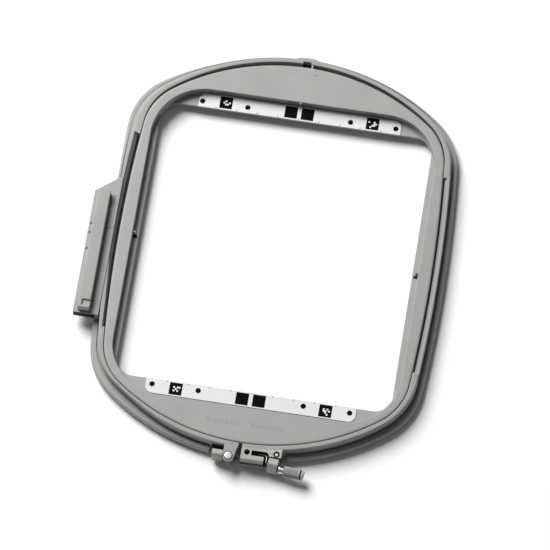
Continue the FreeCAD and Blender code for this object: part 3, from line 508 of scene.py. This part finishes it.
def make_inner_frame():
    """The inner frame as one hollow shell: plate, window, sunken ledge and opening."""
    near_corner = ((128, 141), (131, 128), (115, 141))
    spots = [(x * s, y * t) for x, y in near_corner for s in (1, -1) for t in (1, -1)]
    rays = rays_between(0, 2 * math.pi, RAYS, spots)[:-1]

    def outer(inward, height):
        size = (HALF_WIDTH - inward, REACH - inward, REACH_BACK - inward, CORNER - inward)
        return level(radii(hoop(*size), rays), rays, height)

    def inner(sizes, outset, height):
        return level(radii(round_box(*(size + outset for size in sizes)), rays), rays, height)

    rings = [outer(0, BOTTOM)]
    rings += [outer(inward, TOP - drop) for inward, drop in quarter_turn(1.5)]
    rings += [outer(3.0, TOP), inner(WINDOW, 2.2, TOP)]
    rings += [inner(WINDOW, outset, TOP - drop) for outset, drop in reversed(quarter_turn(0.5))]
    rings += [inner(WINDOW, outset, TOP - drop) for outset, drop in UNDERCUT]
    rings += [inner(WINDOW, 0, LEDGE_TOP + 0.5), inner(WINDOW, -0.5, LEDGE_TOP)]
    rings += [inner(OPENING, outset, LEDGE_TOP - drop) for outset, drop in reversed(quarter_turn(0.6, 4))]
    rings += [inner(OPENING, 0, LEDGE_BOTTOM), inner(WINDOW, 0, LEDGE_BOTTOM), inner(WINDOW, 0, BOTTOM)]
    rings += [inner(WINDOW, WALL, BOTTOM), inner(WINDOW, WALL, TOP - WALL)]
    rings += [outer(WALL, TOP - WALL), outer(WALL, BOTTOM)]
    piece = loft("inner_frame_moulding", rings)
    finish(piece, "inner", frame_grey, "frame_plastic", "inner_frame")


def small_block(name, low, high, body, material, slot, rounding=0.25):
    """A small rounded block between two corners."""
    piece = prism(name, box_outline(low[0], low[1], high[0], high[1]), low[2], high[2])
    soften(piece, rounding, 2)
    return finish(piece, body, material, slot)


def make_frame_marks():
    """Centre tabs, painted shade in the side notches' holes, the arrow by the back notch and a row of plain
    moulded marks coloured darker as painted shade.
    """
    for side, label in ((-1, "left"), (1, "right")):
        low, high = sorted((side * 134.6, side * 137.5))
        small_block(f"side_tab_{label}", (low, 0.2, LEDGE_TOP), (high, 1.8, 13.5), "inner", frame_grey,
                    "frame_plastic")
        # painted shade: a flat dark patch on the ledge stands in for the shade in the hole beside each centre
        # tab
        low, high = sorted((side * 133.0, side * 136.8))
        small_block(f"side_hole_painted_shade_{label}", (low, -3.0, LEDGE_TOP - 0.3), (high, -0.2, LEDGE_TOP + 0.05),
                    "inner", dark_plastic, "dark_plastic", 0.02)
    small_block("back_tab", (-0.8, 155.6, LEDGE_TOP), (0.8, 157.4, 15.2), "inner", frame_grey,
                "frame_plastic")
    arrow = prism("back_arrow", [(7.0, 187.2), (12.6, 187.2), (9.8, 191.0)], TOP - 0.2, TOP + 0.25)
    finish(soften(arrow, 0.12, 2), "inner", frame_grey, "frame_plastic")
    widths = (2.4, 1.2, 2.2, 0.7, 1.9, 2.4, 1.2, 0.7, 2.2)
    heights = (4.6, 3.2, 3.2, 4.6, 3.2, 4.2, 3.2, 4.6, 3.2)
    # the marks' darker colour is painted shade beside their raised edges
    for x, label in ((-37.5, "left"), (5.5, "right")):
        for number, (width, height) in enumerate(zip(widths, heights)):
            low, high = (x, MARK_ROW, TOP - 0.2), (x + width, MARK_ROW + height, TOP + 0.1)
            small_block(f"moulded_mark_{label}_{number}", low, high, "inner", mark_painted_shade, "frame_plastic",
                        0.05)
            x += width + MARK_GAP


# ------------------------------------------------------------------ printed strips
def strip_outline(label, end):
    """The strip's outline, with its two corners next to the plate rounded."""
    near, far = OPENING[1], OPENING[1] + STRIP_WIDTH
    low, high = STRIP_ENDS[label]
    right = arc((high - STRIP_CORNER, far - STRIP_CORNER), STRIP_CORNER, 0, math.pi / 2, 16)
    left = arc((low + STRIP_CORNER, far - STRIP_CORNER), STRIP_CORNER, math.pi / 2, math.pi, 16)
    outline = [(low, near), (high, near)] + [tuple(spot) for spot in np.vstack((right, left))]
    return [(x, y * end) for x, y in outline]


# plain patterns in place of the four small codes, row by row: 0 is a white cell
CODE_CELLS = (
    ("1111111", "1111111", "1110011", "1101101", "1110111", "1111111", "1111111"),
    ("1111111", "1101111", "1110011", "1111001", "1011011", "1111111", "1111111"),
    ("1111111", "1111111", "1101011", "1110111", "1101001", "1111111", "1111111"),
    ("1111111", "1111011", "1110111", "1100101", "1101011", "1111111", "1111111"),
)


def flat_marks(name, outlines, height):
    """Thin printed shapes just above the strip."""
    vertices, faces = [], []
    for outline in outlines:
        first = len(vertices)
        vertices += [(x, y, height) for x, y in outline]
        faces.append(list(range(first, first + len(outline))))
    return new_piece(name, vertices, faces)


def make_strip(label, end, cells):
    """One printed strip. end is 1 at the back and -1 at the front."""
    piece = soften(prism(f"strip_{label}", strip_outline(label, end), LEDGE_TOP, STRIP_TOP), 0.12, 2)
    finish(piece, "inner", strip_white, "printed_strip", f"scale_strip_{label}")
    middle, half, cell = end * CODE_ROW, CODE_SIZE / 2, CODE_SIZE / CODE_GRID
    black = [disc_outline(x, end * DOT_ROW, DOT_RADIUS, 32) for x in DOT_PLACES]
    squares = (-CODE_PLACE, -SQUARE_PLACE, SQUARE_PLACE, CODE_PLACE)
    black += [box_outline(x - half, middle - half, x + half, middle + half) for x in squares]
    finish(flat_marks(f"strip_{label}_print", black, STRIP_TOP + INK), "inner", print_black, "printed_strip")
    low, high = sorted((end * (OPENING[1] + 0.2), end * (OPENING[1] + 1.9)))
    ticks = [box_outline(x - TICK_HALF_WIDTH, low, x + TICK_HALF_WIDTH, high)
             for x in range(-TICK_REACH, TICK_REACH + 1, TICK_STEP)]
    finish(flat_marks(f"strip_{label}_ticks", ticks, STRIP_TOP + INK), "inner", print_grey, "printed_strip")
    white = []
    for x, pattern in zip((-CODE_PLACE, CODE_PLACE), cells):
        for row, line in enumerate(pattern):
            for column, bit in enumerate(line):
                if bit == "0":
                    left = x - half + CODE_SIZE * column / CODE_GRID
                    low = middle - half + CODE_SIZE * row / CODE_GRID
                    white.append(box_outline(left, low, left + cell, low + cell))
    code = flat_marks(f"strip_{label}_code", white, STRIP_TOP + 2 * INK)
    finish(code, "inner", strip_white, "printed_strip")


# ------------------------------------------------------------------ outer ring
def bore_walls(rays, base, x, y):
    """Radii of the bore with its notch and side slots: at the slots' foot and at their mouth."""
    in_slot = 1 - ease(np.abs(y), SLOT_HALF_LENGTH - 1.5, SLOT_HALF_LENGTH + 0.5)
    in_slot = in_slot * (np.abs(x) > 100)
    notch = (1 - ease(np.abs(x), NOTCH_HALF - 0.5, NOTCH_HALF + 0.3)) * (y > 0)
    notched = base + notch * np.maximum(NOTCH_REACH / np.maximum(np.sin(rays), 0.5) - base, 0)
    taper = 1 - SLOT_TAPER * ease(-y, -5, 75) * (x < 0)

    def widened(step):
        size = (HALF_WIDTH + GAP + step, REACH + GAP + step, BORE_BACK + step, CORNER + GAP + step)
        wide = radii(hoop(*size, BORE_BACK_RADIUS + step), rays)
        return notched + in_slot * taper * (wide - base) + 0.02

    return [np.where(x < 0, widened(left), widened(right)) for left, right in (SLOT_FOOT_WIDTH, SLOT_WIDTH)]


def rim_and_flange(rays, x, y):
    """Radii of the upright rim and of the flange around it."""
    slim_left = RIM_STEP[0] * ease(-x, 60, 120) * ease(-y, 60, 100)
    slim_right = RIM_STEP[1] * ease(x, 90, 135) * ease(y, -180, -120)
    rim = radii(hoop(*RIM), rays) - slim_left - slim_right
    bump = (1 - ease(np.abs(x), BUMP_HALF - 6.0, BUMP_HALF + 5.5)) * (y > 0)
    rim = rim + bump * (BUMP_REACH - RIM[2])
    turned = np.degrees(rays)
    swell = ease(turned, 112, 137) * (1 - ease(turned, 139, 160))
    far = radii(hoop(*FLANGE), rays) + CORNER_SWELL * swell
    clear = ease(x, CLEAR_LEFT - 0.8, CLEAR_LEFT) * (1 - ease(x, CLEAR_RIGHT, CLEAR_RIGHT + 0.8)) * (y < 0)
    return rim, far + clear * (rim + 0.05 - far)


def make_outer_ring():
    """The whole outer ring as one swept moulding, from one side of the clamp's gap to the other."""
    start = math.atan2(-RIM[1], SPLIT_RIGHT)
    end = math.atan2(-RIM[1], SPLIT_LEFT) + 2 * math.pi
    spots = [(x, y) for x in (153, -153) for y in (-100, 100)] + [(x, 200) for x in (-4, 4, -11.5, 11.5)]
    spots += [(CLEAR_LEFT, -205), (CLEAR_RIGHT, -205)]
    rays = rays_between(start, end, RAYS, spots)
    bore = hoop(HALF_WIDTH + GAP, REACH + GAP, BORE_BACK, CORNER + GAP, BORE_BACK_RADIUS)
    base = radii(bore, rays)
    x, y = base * np.cos(rays), base * np.sin(rays)
    foot, wide = bore_walls(rays, base, x, y)
    rim, flange = rim_and_flange(rays, x, y)
    lip = flange - rim

    def at(radius, height):
        return level(radius, rays, height)

    # the bore, the slot and the rim's rounded top
    rings = [at(base, 0.4), at(base, SLOT_BOTTOM), at(foot, SLOT_BOTTOM + 0.02), at(foot, SLOT_FOOT)]
    rings += [at(wide + across, TOP - drop) for across, drop in quarter_turn(0.7, 4)]
    edge = np.minimum(2.2, (rim - wide) / 2 - 0.75)
    rings += [at(rim - edge * across, TOP - edge * drop) for across, drop in reversed(quarter_turn(1.0, 7))]
    # the groove beside the rim and the flange's rounded edge
    behind = ease(y, 20, 130)
    groove = np.minimum(GROOVE_WIDTH + GROOVE_SPREAD * behind, lip * (0.3 + 0.42 * behind))
    depth = np.minimum(GROOVE_DEPTH, lip * 0.3) * (1 - 0.8 * behind * (1 - ease(x, -60, 90)))
    crest = np.minimum(0.6, lip * 0.1)
    rings += [at(rim + 0.01, FLANGE_TOP - depth), at(rim + groove, FLANGE_TOP - depth)]
    rings += [at(rim + groove + crest * across, FLANGE_TOP - crest * drop)
              for across, drop in quarter_turn(1.0, 4)]
    bend = np.minimum(2.0, (lip - groove - crest) * 0.6)
    rings += [at(flange - bend * across, FLANGE_TOP - bend * drop)
              for across, drop in reversed(quarter_turn(1.0, 6))]
    rings += [at(flange, 0.5), at(flange - np.minimum(0.5, lip * 0.2), 0.0)]
    # the underside, hollow below the flange
    under = flange - np.minimum(SKIRT, lip * 0.5)
    rings += [at(under, 0.0), at(under, HOLLOW_TOP), at(rim, HOLLOW_TOP), at(rim - 0.02, 0.3)]
    rings += [at(rim - 0.4, 0.0), at(base + 0.4, 0.0)]
    piece = loft("outer_ring_moulding", rings, open_ends=True)
    piece.data.materials.append(ring_grey)
    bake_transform(piece)
    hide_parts("outer_ring_left", "outer_ring_right")


def make_ring_details():
    """The tab at the back notch, painted shade in the notch, and painted shade in the gap behind the lever.
    """
    tab = prism("notch_tab", box_outline(4.4, 193.6, 6.4, 199.4), 9.0, 15.4)
    finish(soften(tab, 0.5), "ring_right", ring_grey, "grey_plastic")
    # painted shade: a dark block in the back notch stands in for the shade in that gap
    insert = prism("notch_painted_shade", box_outline(-3.9, BORE_BACK - 0.6, 3.9, NOTCH_REACH - 0.1), 0.5, 10.0)
    carve(insert, prism("room", disc_outline(0, BORE_BACK - 0.4, 2.6, 32), 1.5, 11.0))
    finish(soften(insert, 0.2, 2), "ring_right", dark_plastic, "dark_plastic")
    # painted shade: a thin dark sheet on the rim's wall behind the lever stands in for the deep shade in that
    # gap
    reach = RIM_CENTRE + RIM[1]
    start, end = (math.asin(x / reach) - math.pi / 2 for x in (-28.4, -16.7))
    edge = arc((0, RIM_CENTRE), reach + 0.1, start, end, 30)
    gap_shade = prism("lever_gap_painted_shade", ribbon(edge, 0.5), 0.8, 12.4)
    finish(gap_shade, "ring_left", dark_plastic, "dark_plastic")


# ------------------------------------------------------------------ connector
def make_connector():
    """The connector on the left: plate, rail with its pocket, ribs, code pins and screws."""
    outline = [(PLATE_LEFT, PLATE_FRONT), (PLATE_RIGHT, PLATE_FRONT), (PLATE_RIGHT, PLATE_BACK),
               (-158.0, PLATE_BACK), (PLATE_LEFT, 35.0)]
    base = prism("connector_plate", outline, PLATE_BOTTOM, PLATE_TOP)
    dimples = [prism("dimple", disc_outline(PIN_LINE, y, 1.2, 24), PLATE_TOP - 0.8, PLATE_TOP + 1)
               for y in CODE_PINS]
    carve(base, *dimples)
    soften(base, 0.7)
    finish(base, "ring_left", ring_grey, "grey_plastic", "connector_base")
    rail = prism("connector_rail_body", box_outline(*RAIL), PLATE_TOP, RAIL_TOP)
    pocket = prism("pocket", box_outline(*RAIL_POCKET), POCKET_FLOOR, RAIL_TOP + 1)
    carve(rail, pocket)
    soften(rail, 0.9)
    finish(rail, "ring_left", ring_grey, "grey_plastic", "connector_rail")
    plate = prism("catch_plate", box_outline(*CATCH_PLATE), POCKET_FLOOR, POCKET_FLOOR + 0.6)
    finish(soften(plate, 0.15, 2), "ring_left", knob_grey, "dark_steel", "latch_plate")
    # painted shade: a thin dark sheet on the plate's front face stands in for the shade under the plate's
    # front edge
    small_block("plate_front_painted_shade", (-178.8, -90.25, 7.7), (-158.6, -89.9, 15.6), "ring_left", dark_plastic,
                "dark_plastic", 0.1)
    for number in range(HATCH_RIBS):
        y = HATCH_START + HATCH_STEP * number
        small_block(f"hatch_rib_{number}", (-163.3, y, 16.8), (-158.6, y + 0.8, 17.5), "ring_left", ring_grey,
                    "grey_plastic", 0.15)
    small_block("plate_rib", (-163.4, -0.5, 16.8), (-156.4, 0.5, PLATE_TOP + 0.45), "ring_left", ring_grey,
                "grey_plastic", 0.2)
    for number, y in enumerate(CODE_PINS):
        pin = stand(revolve(f"code_pin_{number}", [(15.0, 0.9), (16.6, 0.9), (16.8, 0.7)], 24), PIN_LINE, y)
        finish(pin, "ring_left", pin_grey, "dark_plastic", *(["code_pins"] if number == 0 else []))
    for number, y in enumerate(CONNECTOR_SCREWS):
        profile = [(7.6, 3.1), (6.4, 3.1), (5.9, 2.7), (5.7, 2.0), (5.7, 1.2), (6.8, 1.2)]
        screw = stand(revolve(f"connector_screw_{number}", profile, 32), SCREW_LINE, y)
        finish(screw, "ring_left", bright_steel, "steel", *(["connector_screws"] if number == 0 else []))


# ------------------------------------------------------------------ clamp
def make_ear():
    """The ear on the left end of the ring, with the pin that the lever turns on."""
    left = PIVOT[0] - EAR_RADIUS
    nose = [tuple(spot) for spot in arc(PIVOT, EAR_RADIUS, math.pi, 2 * math.pi, 32)]
    outline = [(SPLIT_LEFT, -198.9), (left, -198.4)] + nose + [(-5.2, -206.5), (-4.6, -202.5)]
    ear = prism("lever_ear", outline, CLAMP_BOTTOM, TOP)
    slot = prism("ear_slot", box_outline(left - 2, -220, SPLIT_LEFT + 2, -203.9), 4.0, 12.0)
    seat = prism("seat", disc_outline(*PIVOT, 4.25), TOP - 0.9, TOP + 1)
    carve(ear, slot, seat)
    finish(soften(ear, 0.5), "ring_left", ring_grey, "grey_plastic")
    # painted shade: a thin dark ring on the seat's floor around the pin head stands in for the shade in the
    # recess
    section = [(14.9, 1.6), (15.15, 1.6), (15.15, 4.2), (14.9, 4.2), (14.9, 1.6)]
    ring = stand(revolve("pin_seat_painted_shade", section, 40), *PIVOT)
    finish(ring, "ring_left", dark_plastic, "dark_plastic")
    head = [(15.2, 3.6), (16.15, 3.7), (16.35, 3.6), (16.47, 3.2), (16.5, 2.4), (16.5, 0.0)]
    pin = stand(revolve("lever_pin_head", head, 48), *PIVOT)
    finish(pin, "ring_left", satin_steel, "steel", "lever_pivot_pins")
    low = stand(revolve("lever_pin_low", [(CLAMP_BOTTOM, 1.45), (6.2, 1.45)], 32), *PIVOT)
    finish(low, "ring_left", bright_steel, "steel")


def round_front(front, back, low, high, radius):
    """A side outline of (y, z) whose upper front edge is rounded."""
    curve = arc((front + radius, high - radius), radius, math.pi, math.pi / 2, 12)
    return [(back, low), (front, low)] + [tuple(spot) for spot in curve] + [(back, high)]


def grip_ribs(name, start, end, outline, body):
    """Upright grip ribs: thin slices a little proud of a front face."""
    x, number = start, 0
    while x < end:
        rib = side_prism(f"{name}_{number}", outline, x, x + RIB_WIDTH)
        finish(soften(rib, 0.12, 2), body, clamp_grey, "clamp_plastic")
        x += RIB_PITCH
        number += 1


def make_lever():
    """The cam lever: grip, two cheeks around the pivot and the pin that holds the draw bar's eye."""
    left, right, front, back = LEVER
    arm = side_prism("lever_arm", round_front(front, back, 1.2, 15.6, 3.0), left, right)
    eye_room = prism("eye_room", disc_outline(*CAM, 3.35), *EYE_ROOM)
    carve(arm, eye_room)
    soften(arm, 0.5, 3, 40)
    finish(arm, "lever", clamp_grey, "clamp_plastic", "clamp_lever")
    for label, low, high in (("low", CHEEKS[0], EYE_ROOM[0]), ("high", EYE_ROOM[1], CHEEKS[1])):
        cheek = prism(f"lever_cheek_{label}", disc_outline(PIVOT[0], PIVOT[1], 4.7), low, high)
        neck = prism("neck", box_outline(right - 5, front + 1, PIVOT[0] - 1, PIVOT[1] + 4.3), low, high)
        join(cheek, neck)
        finish(soften(cheek, 0.3, 2), "lever", clamp_grey, "clamp_plastic")
    cam = stand(revolve("lever_cam", [(CHEEKS[0], 1.45), (CHEEKS[1], 1.45)], 32), *CAM)
    finish(cam, "lever", bright_steel, "steel", "lever_cam_pin")
    rib = round_front(front - 0.3, back - 4, 2.6, 15.3, 3.0)
    grip_ribs("lever_grip", left + 0.9, right - 0.9, rib, "lever")


def make_bracket():
    """The bracket on the right end of the ring, with its pocket, channel and recess."""
    step_x, step_y = 25.2, -204.6
    outline = [(SPLIT_RIGHT + 1.2, -199.2), (SPLIT_RIGHT + 0.35, -199.6), (SPLIT_RIGHT, -200.4),
               (SPLIT_RIGHT, BRACKET_FRONT), (step_x, BRACKET_FRONT), (step_x, step_y), (38.0, step_y),
               (38.0, -195.9), (26.0, -197.7), (13.0, -198.9)]
    block = prism("clamp_block", outline, CLAMP_BOTTOM, TOP)
    pocket = [(9.8, -201.0), (9.8, -206.0), (BRACKET_MOUTH, -206.0), (BRACKET_MOUTH, -213.5), (26.2, -213.5),
              (26.2, step_y + 1.4), (24.2, -201.0)]
    hollow = prism("pocket", pocket, 3.0, TOP + 1)
    channel = prism("channel", box_outline(-2.0, -214.0, 27.5, -207.6), *CHANNEL)
    recess = prism("recess", box_outline(29.4, -208.0, 39.0, -198.4), 3.2, 12.8)
    ring = prism("ring", disc_outline(*SWIVEL, 3.1), TOP - 1.2, TOP + 1)
    screw = prism("screw", disc_outline(*SCREW, 2.8), 8.0, TOP + 1)
    radius = 2.6
    curve = arc((BRACKET_FRONT + radius, TOP - radius), radius, math.pi / 2, math.pi, 12)
    ahead, above = BRACKET_FRONT - 1, TOP + 1
    beyond = [(ahead, TOP - radius), (ahead, above), (BRACKET_FRONT + radius, above)]
    brow = side_prism("brow", [tuple(spot) for spot in curve] + beyond, -2.0, 27.0)
    carve(block, hollow, channel, recess, ring, screw, brow)
    finish(soften(block, 0.35), "ring_right", clamp_grey, "clamp_plastic", "clamp_bracket")
    paint_bracket_shade(pocket, step_y)
    fit_bracket()


def paint_bracket_shade(pocket, step_y):
    """Painted shade in the bracket's pocket and channel: dark sheets that stand in for the shade inside them.
    """
    shade_outline = pocket[:3] + [(BRACKET_MOUTH, BRACKET_FRONT + 0.3), (25.1, BRACKET_FRONT + 0.3)]
    shade_outline += [(25.1, step_y + 0.4)] + pocket[5:]
    pocket_shade = prism("pocket_painted_shade", inset(shade_outline, 0.02), 3.02, 15.2)
    core = prism("core", inset(pocket, 0.3), 3.3, TOP + 1)
    finish(carve(pocket_shade, core), "ring_right", dark_plastic, "dark_plastic")
    left, right = 0.3, BRACKET_MOUTH - 0.2
    back = prism("channel_painted_shade", box_outline(left, -207.9, right, -207.62), 5.25, 10.75)
    finish(back, "ring_right", dark_plastic, "dark_plastic")
    sill_shade = prism("channel_floor_painted_shade", box_outline(left, BRACKET_FRONT + 0.5, right, -207.95), 5.22, 5.4)
    finish(sill_shade, "ring_right", dark_plastic, "dark_plastic")


def fit_bracket():
    """The swivel block's pin with painted shade in its seat, the bracket's screw and the grip ribs."""
    # painted shade: a thin dark ring on the seat's floor around the pin stands in for the shade in the recess
    section = [(14.82, 1.7), (15.0, 1.7), (15.0, 3.05), (14.82, 3.05), (14.82, 1.7)]
    seat = stand(revolve("swivel_seat_painted_shade", section, 40), *SWIVEL)
    finish(seat, "ring_right", dark_plastic, "dark_plastic")
    profile = [(8.0, 2.5), (10.6, 2.5), (11.0, 2.2), (11.0, 1.3), (9.6, 1.3), (9.6, 0.0)]
    head = stand(revolve("bracket_screw_head", profile, 36), *SCREW)
    finish(head, "ring_right", dark_steel, "dark_steel", "bracket_screw")
    profile = [(CLAMP_BOTTOM, 1.65), (15.2, 1.65), (15.45, 1.4), (15.5, 0.0)]
    pin = stand(revolve("swivel_pin_body", profile, 40), *SWIVEL)
    finish(pin, "ring_right", dull_steel, "steel", "swivel_pin")
    front, back_y = BRACKET_FRONT - 0.3, BRACKET_FRONT + 3
    upper = round_front(front, back_y, CHANNEL[1] + 0.3, TOP - 0.1, 2.8)
    lower = [(back_y - 1, 1.4), (front, 1.4), (front, CHANNEL[0] - 0.3), (back_y - 1, CHANNEL[0] - 0.3)]
    grip_ribs("bracket_grip_high", 1.2, BRACKET_MOUTH - 1, upper, "ring_right")
    grip_ribs("bracket_grip_low", 1.2, BRACKET_MOUTH - 1, lower, "ring_right")


def make_spring():
    """The leaf spring in the bracket's pocket, one bent strip."""
    bend = arc((21.35, -205.45), 3.0, math.pi / 2, 0, 14)
    path = [(15.5, -202.45), (18.5, -202.45)] + [tuple(spot) for spot in bend]
    path += [(24.35, -207.5), (24.35, -210.0)]
    spring = prism("leaf_spring_strip", ribbon(path, 0.5), 4.2, 12.0)
    finish(soften(spring, 0.1, 2, 50), "ring_right", bright_steel, "spring_steel", "leaf_spring")


def make_swivel():
    """The block that turns on its pin and that the draw bar slides through."""
    left, right, front, back, low, high, chamfer = -6.0, 3.6, -14.8, -3.8, 2.0, 14.6, 5.1
    side = [(back, low), (front, low), (front, high - chamfer), (front + chamfer, high), (back, high)]
    block = side_prism("swivel_body", side, left, right)
    reach_x, reach_y = SWIVEL[0] - CAM[0], SWIVEL[1] - CAM[1]
    offset = reach_y * math.cos(BAR_TILT) - reach_x * math.sin(BAR_TILT)
    hole = move(revolve("hole", [(-8, 2.4), (8, 2.4)], 40), 0, -offset, BAR_HEIGHT)
    carve(block, hole)
    soften(block, 0.6)
    move(block, *SWIVEL, 0, BAR_TILT)
    finish(block, "swivel", clamp_grey, "clamp_plastic", "swivel_block")
    hub = prism("swivel_hub", disc_outline(0, 0, 3.1), 3.5, 12.5)
    neck = prism("neck", box_outline(-2.5, -4.4, 2.5, -0.5), 3.5, 12.5)
    bore = prism("bore", disc_outline(0, 0, 1.75), 3.0, 13.0)
    carve(join(hub, neck), bore)
    move(soften(hub, 0.25, 2), *SWIVEL, 0, BAR_TILT)
    finish(hub, "swivel", clamp_grey, "clamp_plastic")


def thread(along, turn):
    """Depth of the helical thread, which starts beyond the bar's plain part."""
    if along <= THREAD_START:
        return 0
    share = (along / THREAD_PITCH - turn / (2 * math.pi)) % 1.0
    return -THREAD_DEPTH * abs(2 * share - 1)


def make_draw_bar():
    """The threaded draw bar and the eye at its end."""
    profile = [(1.0, 1.45), (THREAD_START, 1.45)]
    profile += [(THREAD_START + 0.2 * step, BAR_RADIUS) for step in range(1, 322)]
    profile += [(BAR_LENGTH, 1.2)]
    # painted shade: the rod is coloured dark so that it reads as shade where it shows in the bracket's
    # channel
    rod = revolve("draw_bar_rod_painted_shade", profile, 24, thread)
    finish(along_bar(rod), "bar", dark_steel, "steel", "draw_bar")
    eye = prism("draw_bar_eye", disc_outline(0, 0, 3.0), -1.4, 1.4)
    carve(eye, prism("hole", disc_outline(0, 0, 1.55), -2, 2))
    finish(along_bar(soften(eye, 0.25, 2)), "bar", bright_steel, "steel")


def knurl(along, turn):
    """Fine upright flutes on the knob's grip."""
    starts = ease(np.float64(along), KNOB_START + 0.8, KNOB_START + 1.6)
    inside = starts * (1 - ease(np.float64(along), END_RING_START - 1.5, END_RING_START - 0.7))
    return -FLUTE_DEPTH * inside * (0.5 - 0.5 * math.cos(FLUTES * turn))


def make_knob():
    """The washer, the knurled knob with its pale end, dark ring and brass insert."""
    start = WASHER_START
    washer = [(start, 1.7), (start, 3.8), (start + 0.25, 4.1), (start + 1.15, 4.2), (start + 1.4, 3.9),
              (start + 1.4, 3.2), (start + 4.0, 3.2), (start + 4.2, 3.0), (start + 4.2, 1.7)]
    finish(along_bar(revolve("knob_collar", washer, 64)), "collar", bright_steel, "steel", "thrust_washer")
    ring, body = END_RING_START, KNOB_RADIUS
    profile = [(KNOB_START, 1.7), (KNOB_START, 3.9), (KNOB_START + 0.3, 4.5), (KNOB_START + 0.8, body)]
    profile += [(KNOB_START + 0.8 + 0.2 * step, body) for step in range(1, 73)]
    profile += [(ring - 0.3, body), (ring - 0.1, 4.7), (ring, 4.2), (ring, 1.7)]
    finish(along_bar(revolve("knob_grip", profile, 144, knurl)), "knob", knob_grey, "knob_plastic",
           "adjusting_knob")
    cap = [(ring, 1.7), (ring, 4.1), (ring + 1.3, 4.1), (ring + 1.35, 4.5), (ring + 1.6, 4.7)]
    cap += [(KNOB_END - 1.0, 4.6), (KNOB_END - 0.3, 4.1), (KNOB_END, 3.4), (KNOB_END, 1.6)]
    cap += [(KNOB_END - 0.8, 1.3), (KNOB_END - 0.8, 0.0)]
    finish(along_bar(revolve("knob_cap", cap, 72)), "knob", cap_pale, "knob_plastic")
    insert = revolve("knob_insert_end", [(KNOB_START - 0.01, 2.4), (KNOB_START + 11, 2.4)], 32)
    finish(along_bar(insert), "knob", brass, "brass", "knob_insert")
    band = [(ring + 0.1, 4.12), (ring + 0.15, 4.6), (ring + 0.4, 4.75), (ring + 0.9, 4.75)]
    band += [(ring + 1.15, 4.6), (ring + 1.2, 4.12)]
    finish(along_bar(revolve("knob_ring", band, 64)), "knob", dark_plastic, "dark_plastic", "knob_end_ring")


make_inner_frame()
make_frame_marks()
make_strip("back", 1, CODE_CELLS[:2])
make_strip("front", -1, CODE_CELLS[2:])
make_outer_ring()
make_ring_details()
make_connector()
make_ear()
make_lever()
make_bracket()
make_spring()
make_swivel()
make_draw_bar()
make_knob()


# ------------------------------------------------------------------ studio
# metres and watts
FLOOR_HALF, FLOOR_HEIGHT = 3.0, -0.003
KEY_PLACE, KEY_SIZE, KEY_POWER, SKY = (-2.3, 2.4, 3.42), 3.3, 384.0, 0.13
CAMERA_TURN, CAMERA_TILT, CAMERA_DISTANCE = math.radians(9.0), math.radians(67.9), 4.795
CAMERA_AIM = Vector((0, 0, 0.0078))
# millimetres, and shares of the picture's width
LENS, SENSOR, SHIFT = 330.2, 36.0, (-0.00038, -0.03625)


def make_floor():
    """A wide pale floor, a little below the hoop."""
    mesh = bpy.data.meshes.new("floor")
    outline = box_outline(-FLOOR_HALF, -FLOOR_HALF, FLOOR_HALF, FLOOR_HALF)
    corners = [(x, y, FLOOR_HEIGHT) for x, y in outline]
    mesh.from_pydata(corners, [], [(0, 1, 2, 3)])
    floor = bpy.data.objects.new("floor", mesh)
    bpy.context.scene.collection.objects.link(floor)
    white = surface("floor_white", (0.96, 0.96, 0.96), contrast=0.004, rough=(0.85, 0.95), relief=0.0)
    mesh.materials.append(white)


def make_key_light():
    """One large round light behind the hoop's left side, aimed at the middle of the hoop."""
    light = bpy.data.lights.new("key", "AREA")
    light.shape = "DISK"
    light.size = KEY_SIZE
    light.energy = KEY_POWER
    lamp = bpy.data.objects.new("key", light)
    bpy.context.scene.collection.objects.link(lamp)
    lamp.location = KEY_PLACE
    lamp.rotation_euler = (-Vector(KEY_PLACE)).to_track_quat("-Z", "Y").to_euler()


def make_studio():
    """The floor, the light and a dim white world."""
    make_floor()
    make_key_light()
    world = bpy.data.worlds.new("studio")
    world.use_nodes = True
    world.node_tree.nodes["Background"].inputs["Color"].default_value = (1.0, 1.0, 1.0, 1.0)
    world.node_tree.nodes["Background"].inputs["Strength"].default_value = SKY
    bpy.context.scene.world = world
    bpy.context.scene.view_settings.view_transform = "Standard"


def make_camera():
    """A long lens above the front of the hoop."""
    turn, tilt = CAMERA_TURN, CAMERA_TILT
    back = Vector((math.sin(turn) * math.cos(tilt), -math.cos(turn) * math.cos(tilt), math.sin(tilt)))
    right = Vector((math.cos(turn), math.sin(turn), 0))
    up = back.cross(right)
    spot = CAMERA_AIM + back * CAMERA_DISTANCE
    camera = bpy.data.cameras.new("camera")
    camera.lens = LENS
    camera.sensor_width = SENSOR
    camera.shift_x, camera.shift_y = SHIFT
    camera.clip_end = 20.0
    holder = bpy.data.objects.new("camera", camera)
    bpy.context.scene.collection.objects.link(holder)
    holder.matrix_world = Matrix((
        (right.x, up.x, back.x, spot.x),
        (right.y, up.y, back.y, spot.y),
        (right.z, up.z, back.z, spot.z),
        (0, 0, 0, 1),
    ))
    bpy.context.scene.camera = holder


make_studio()
make_camera()
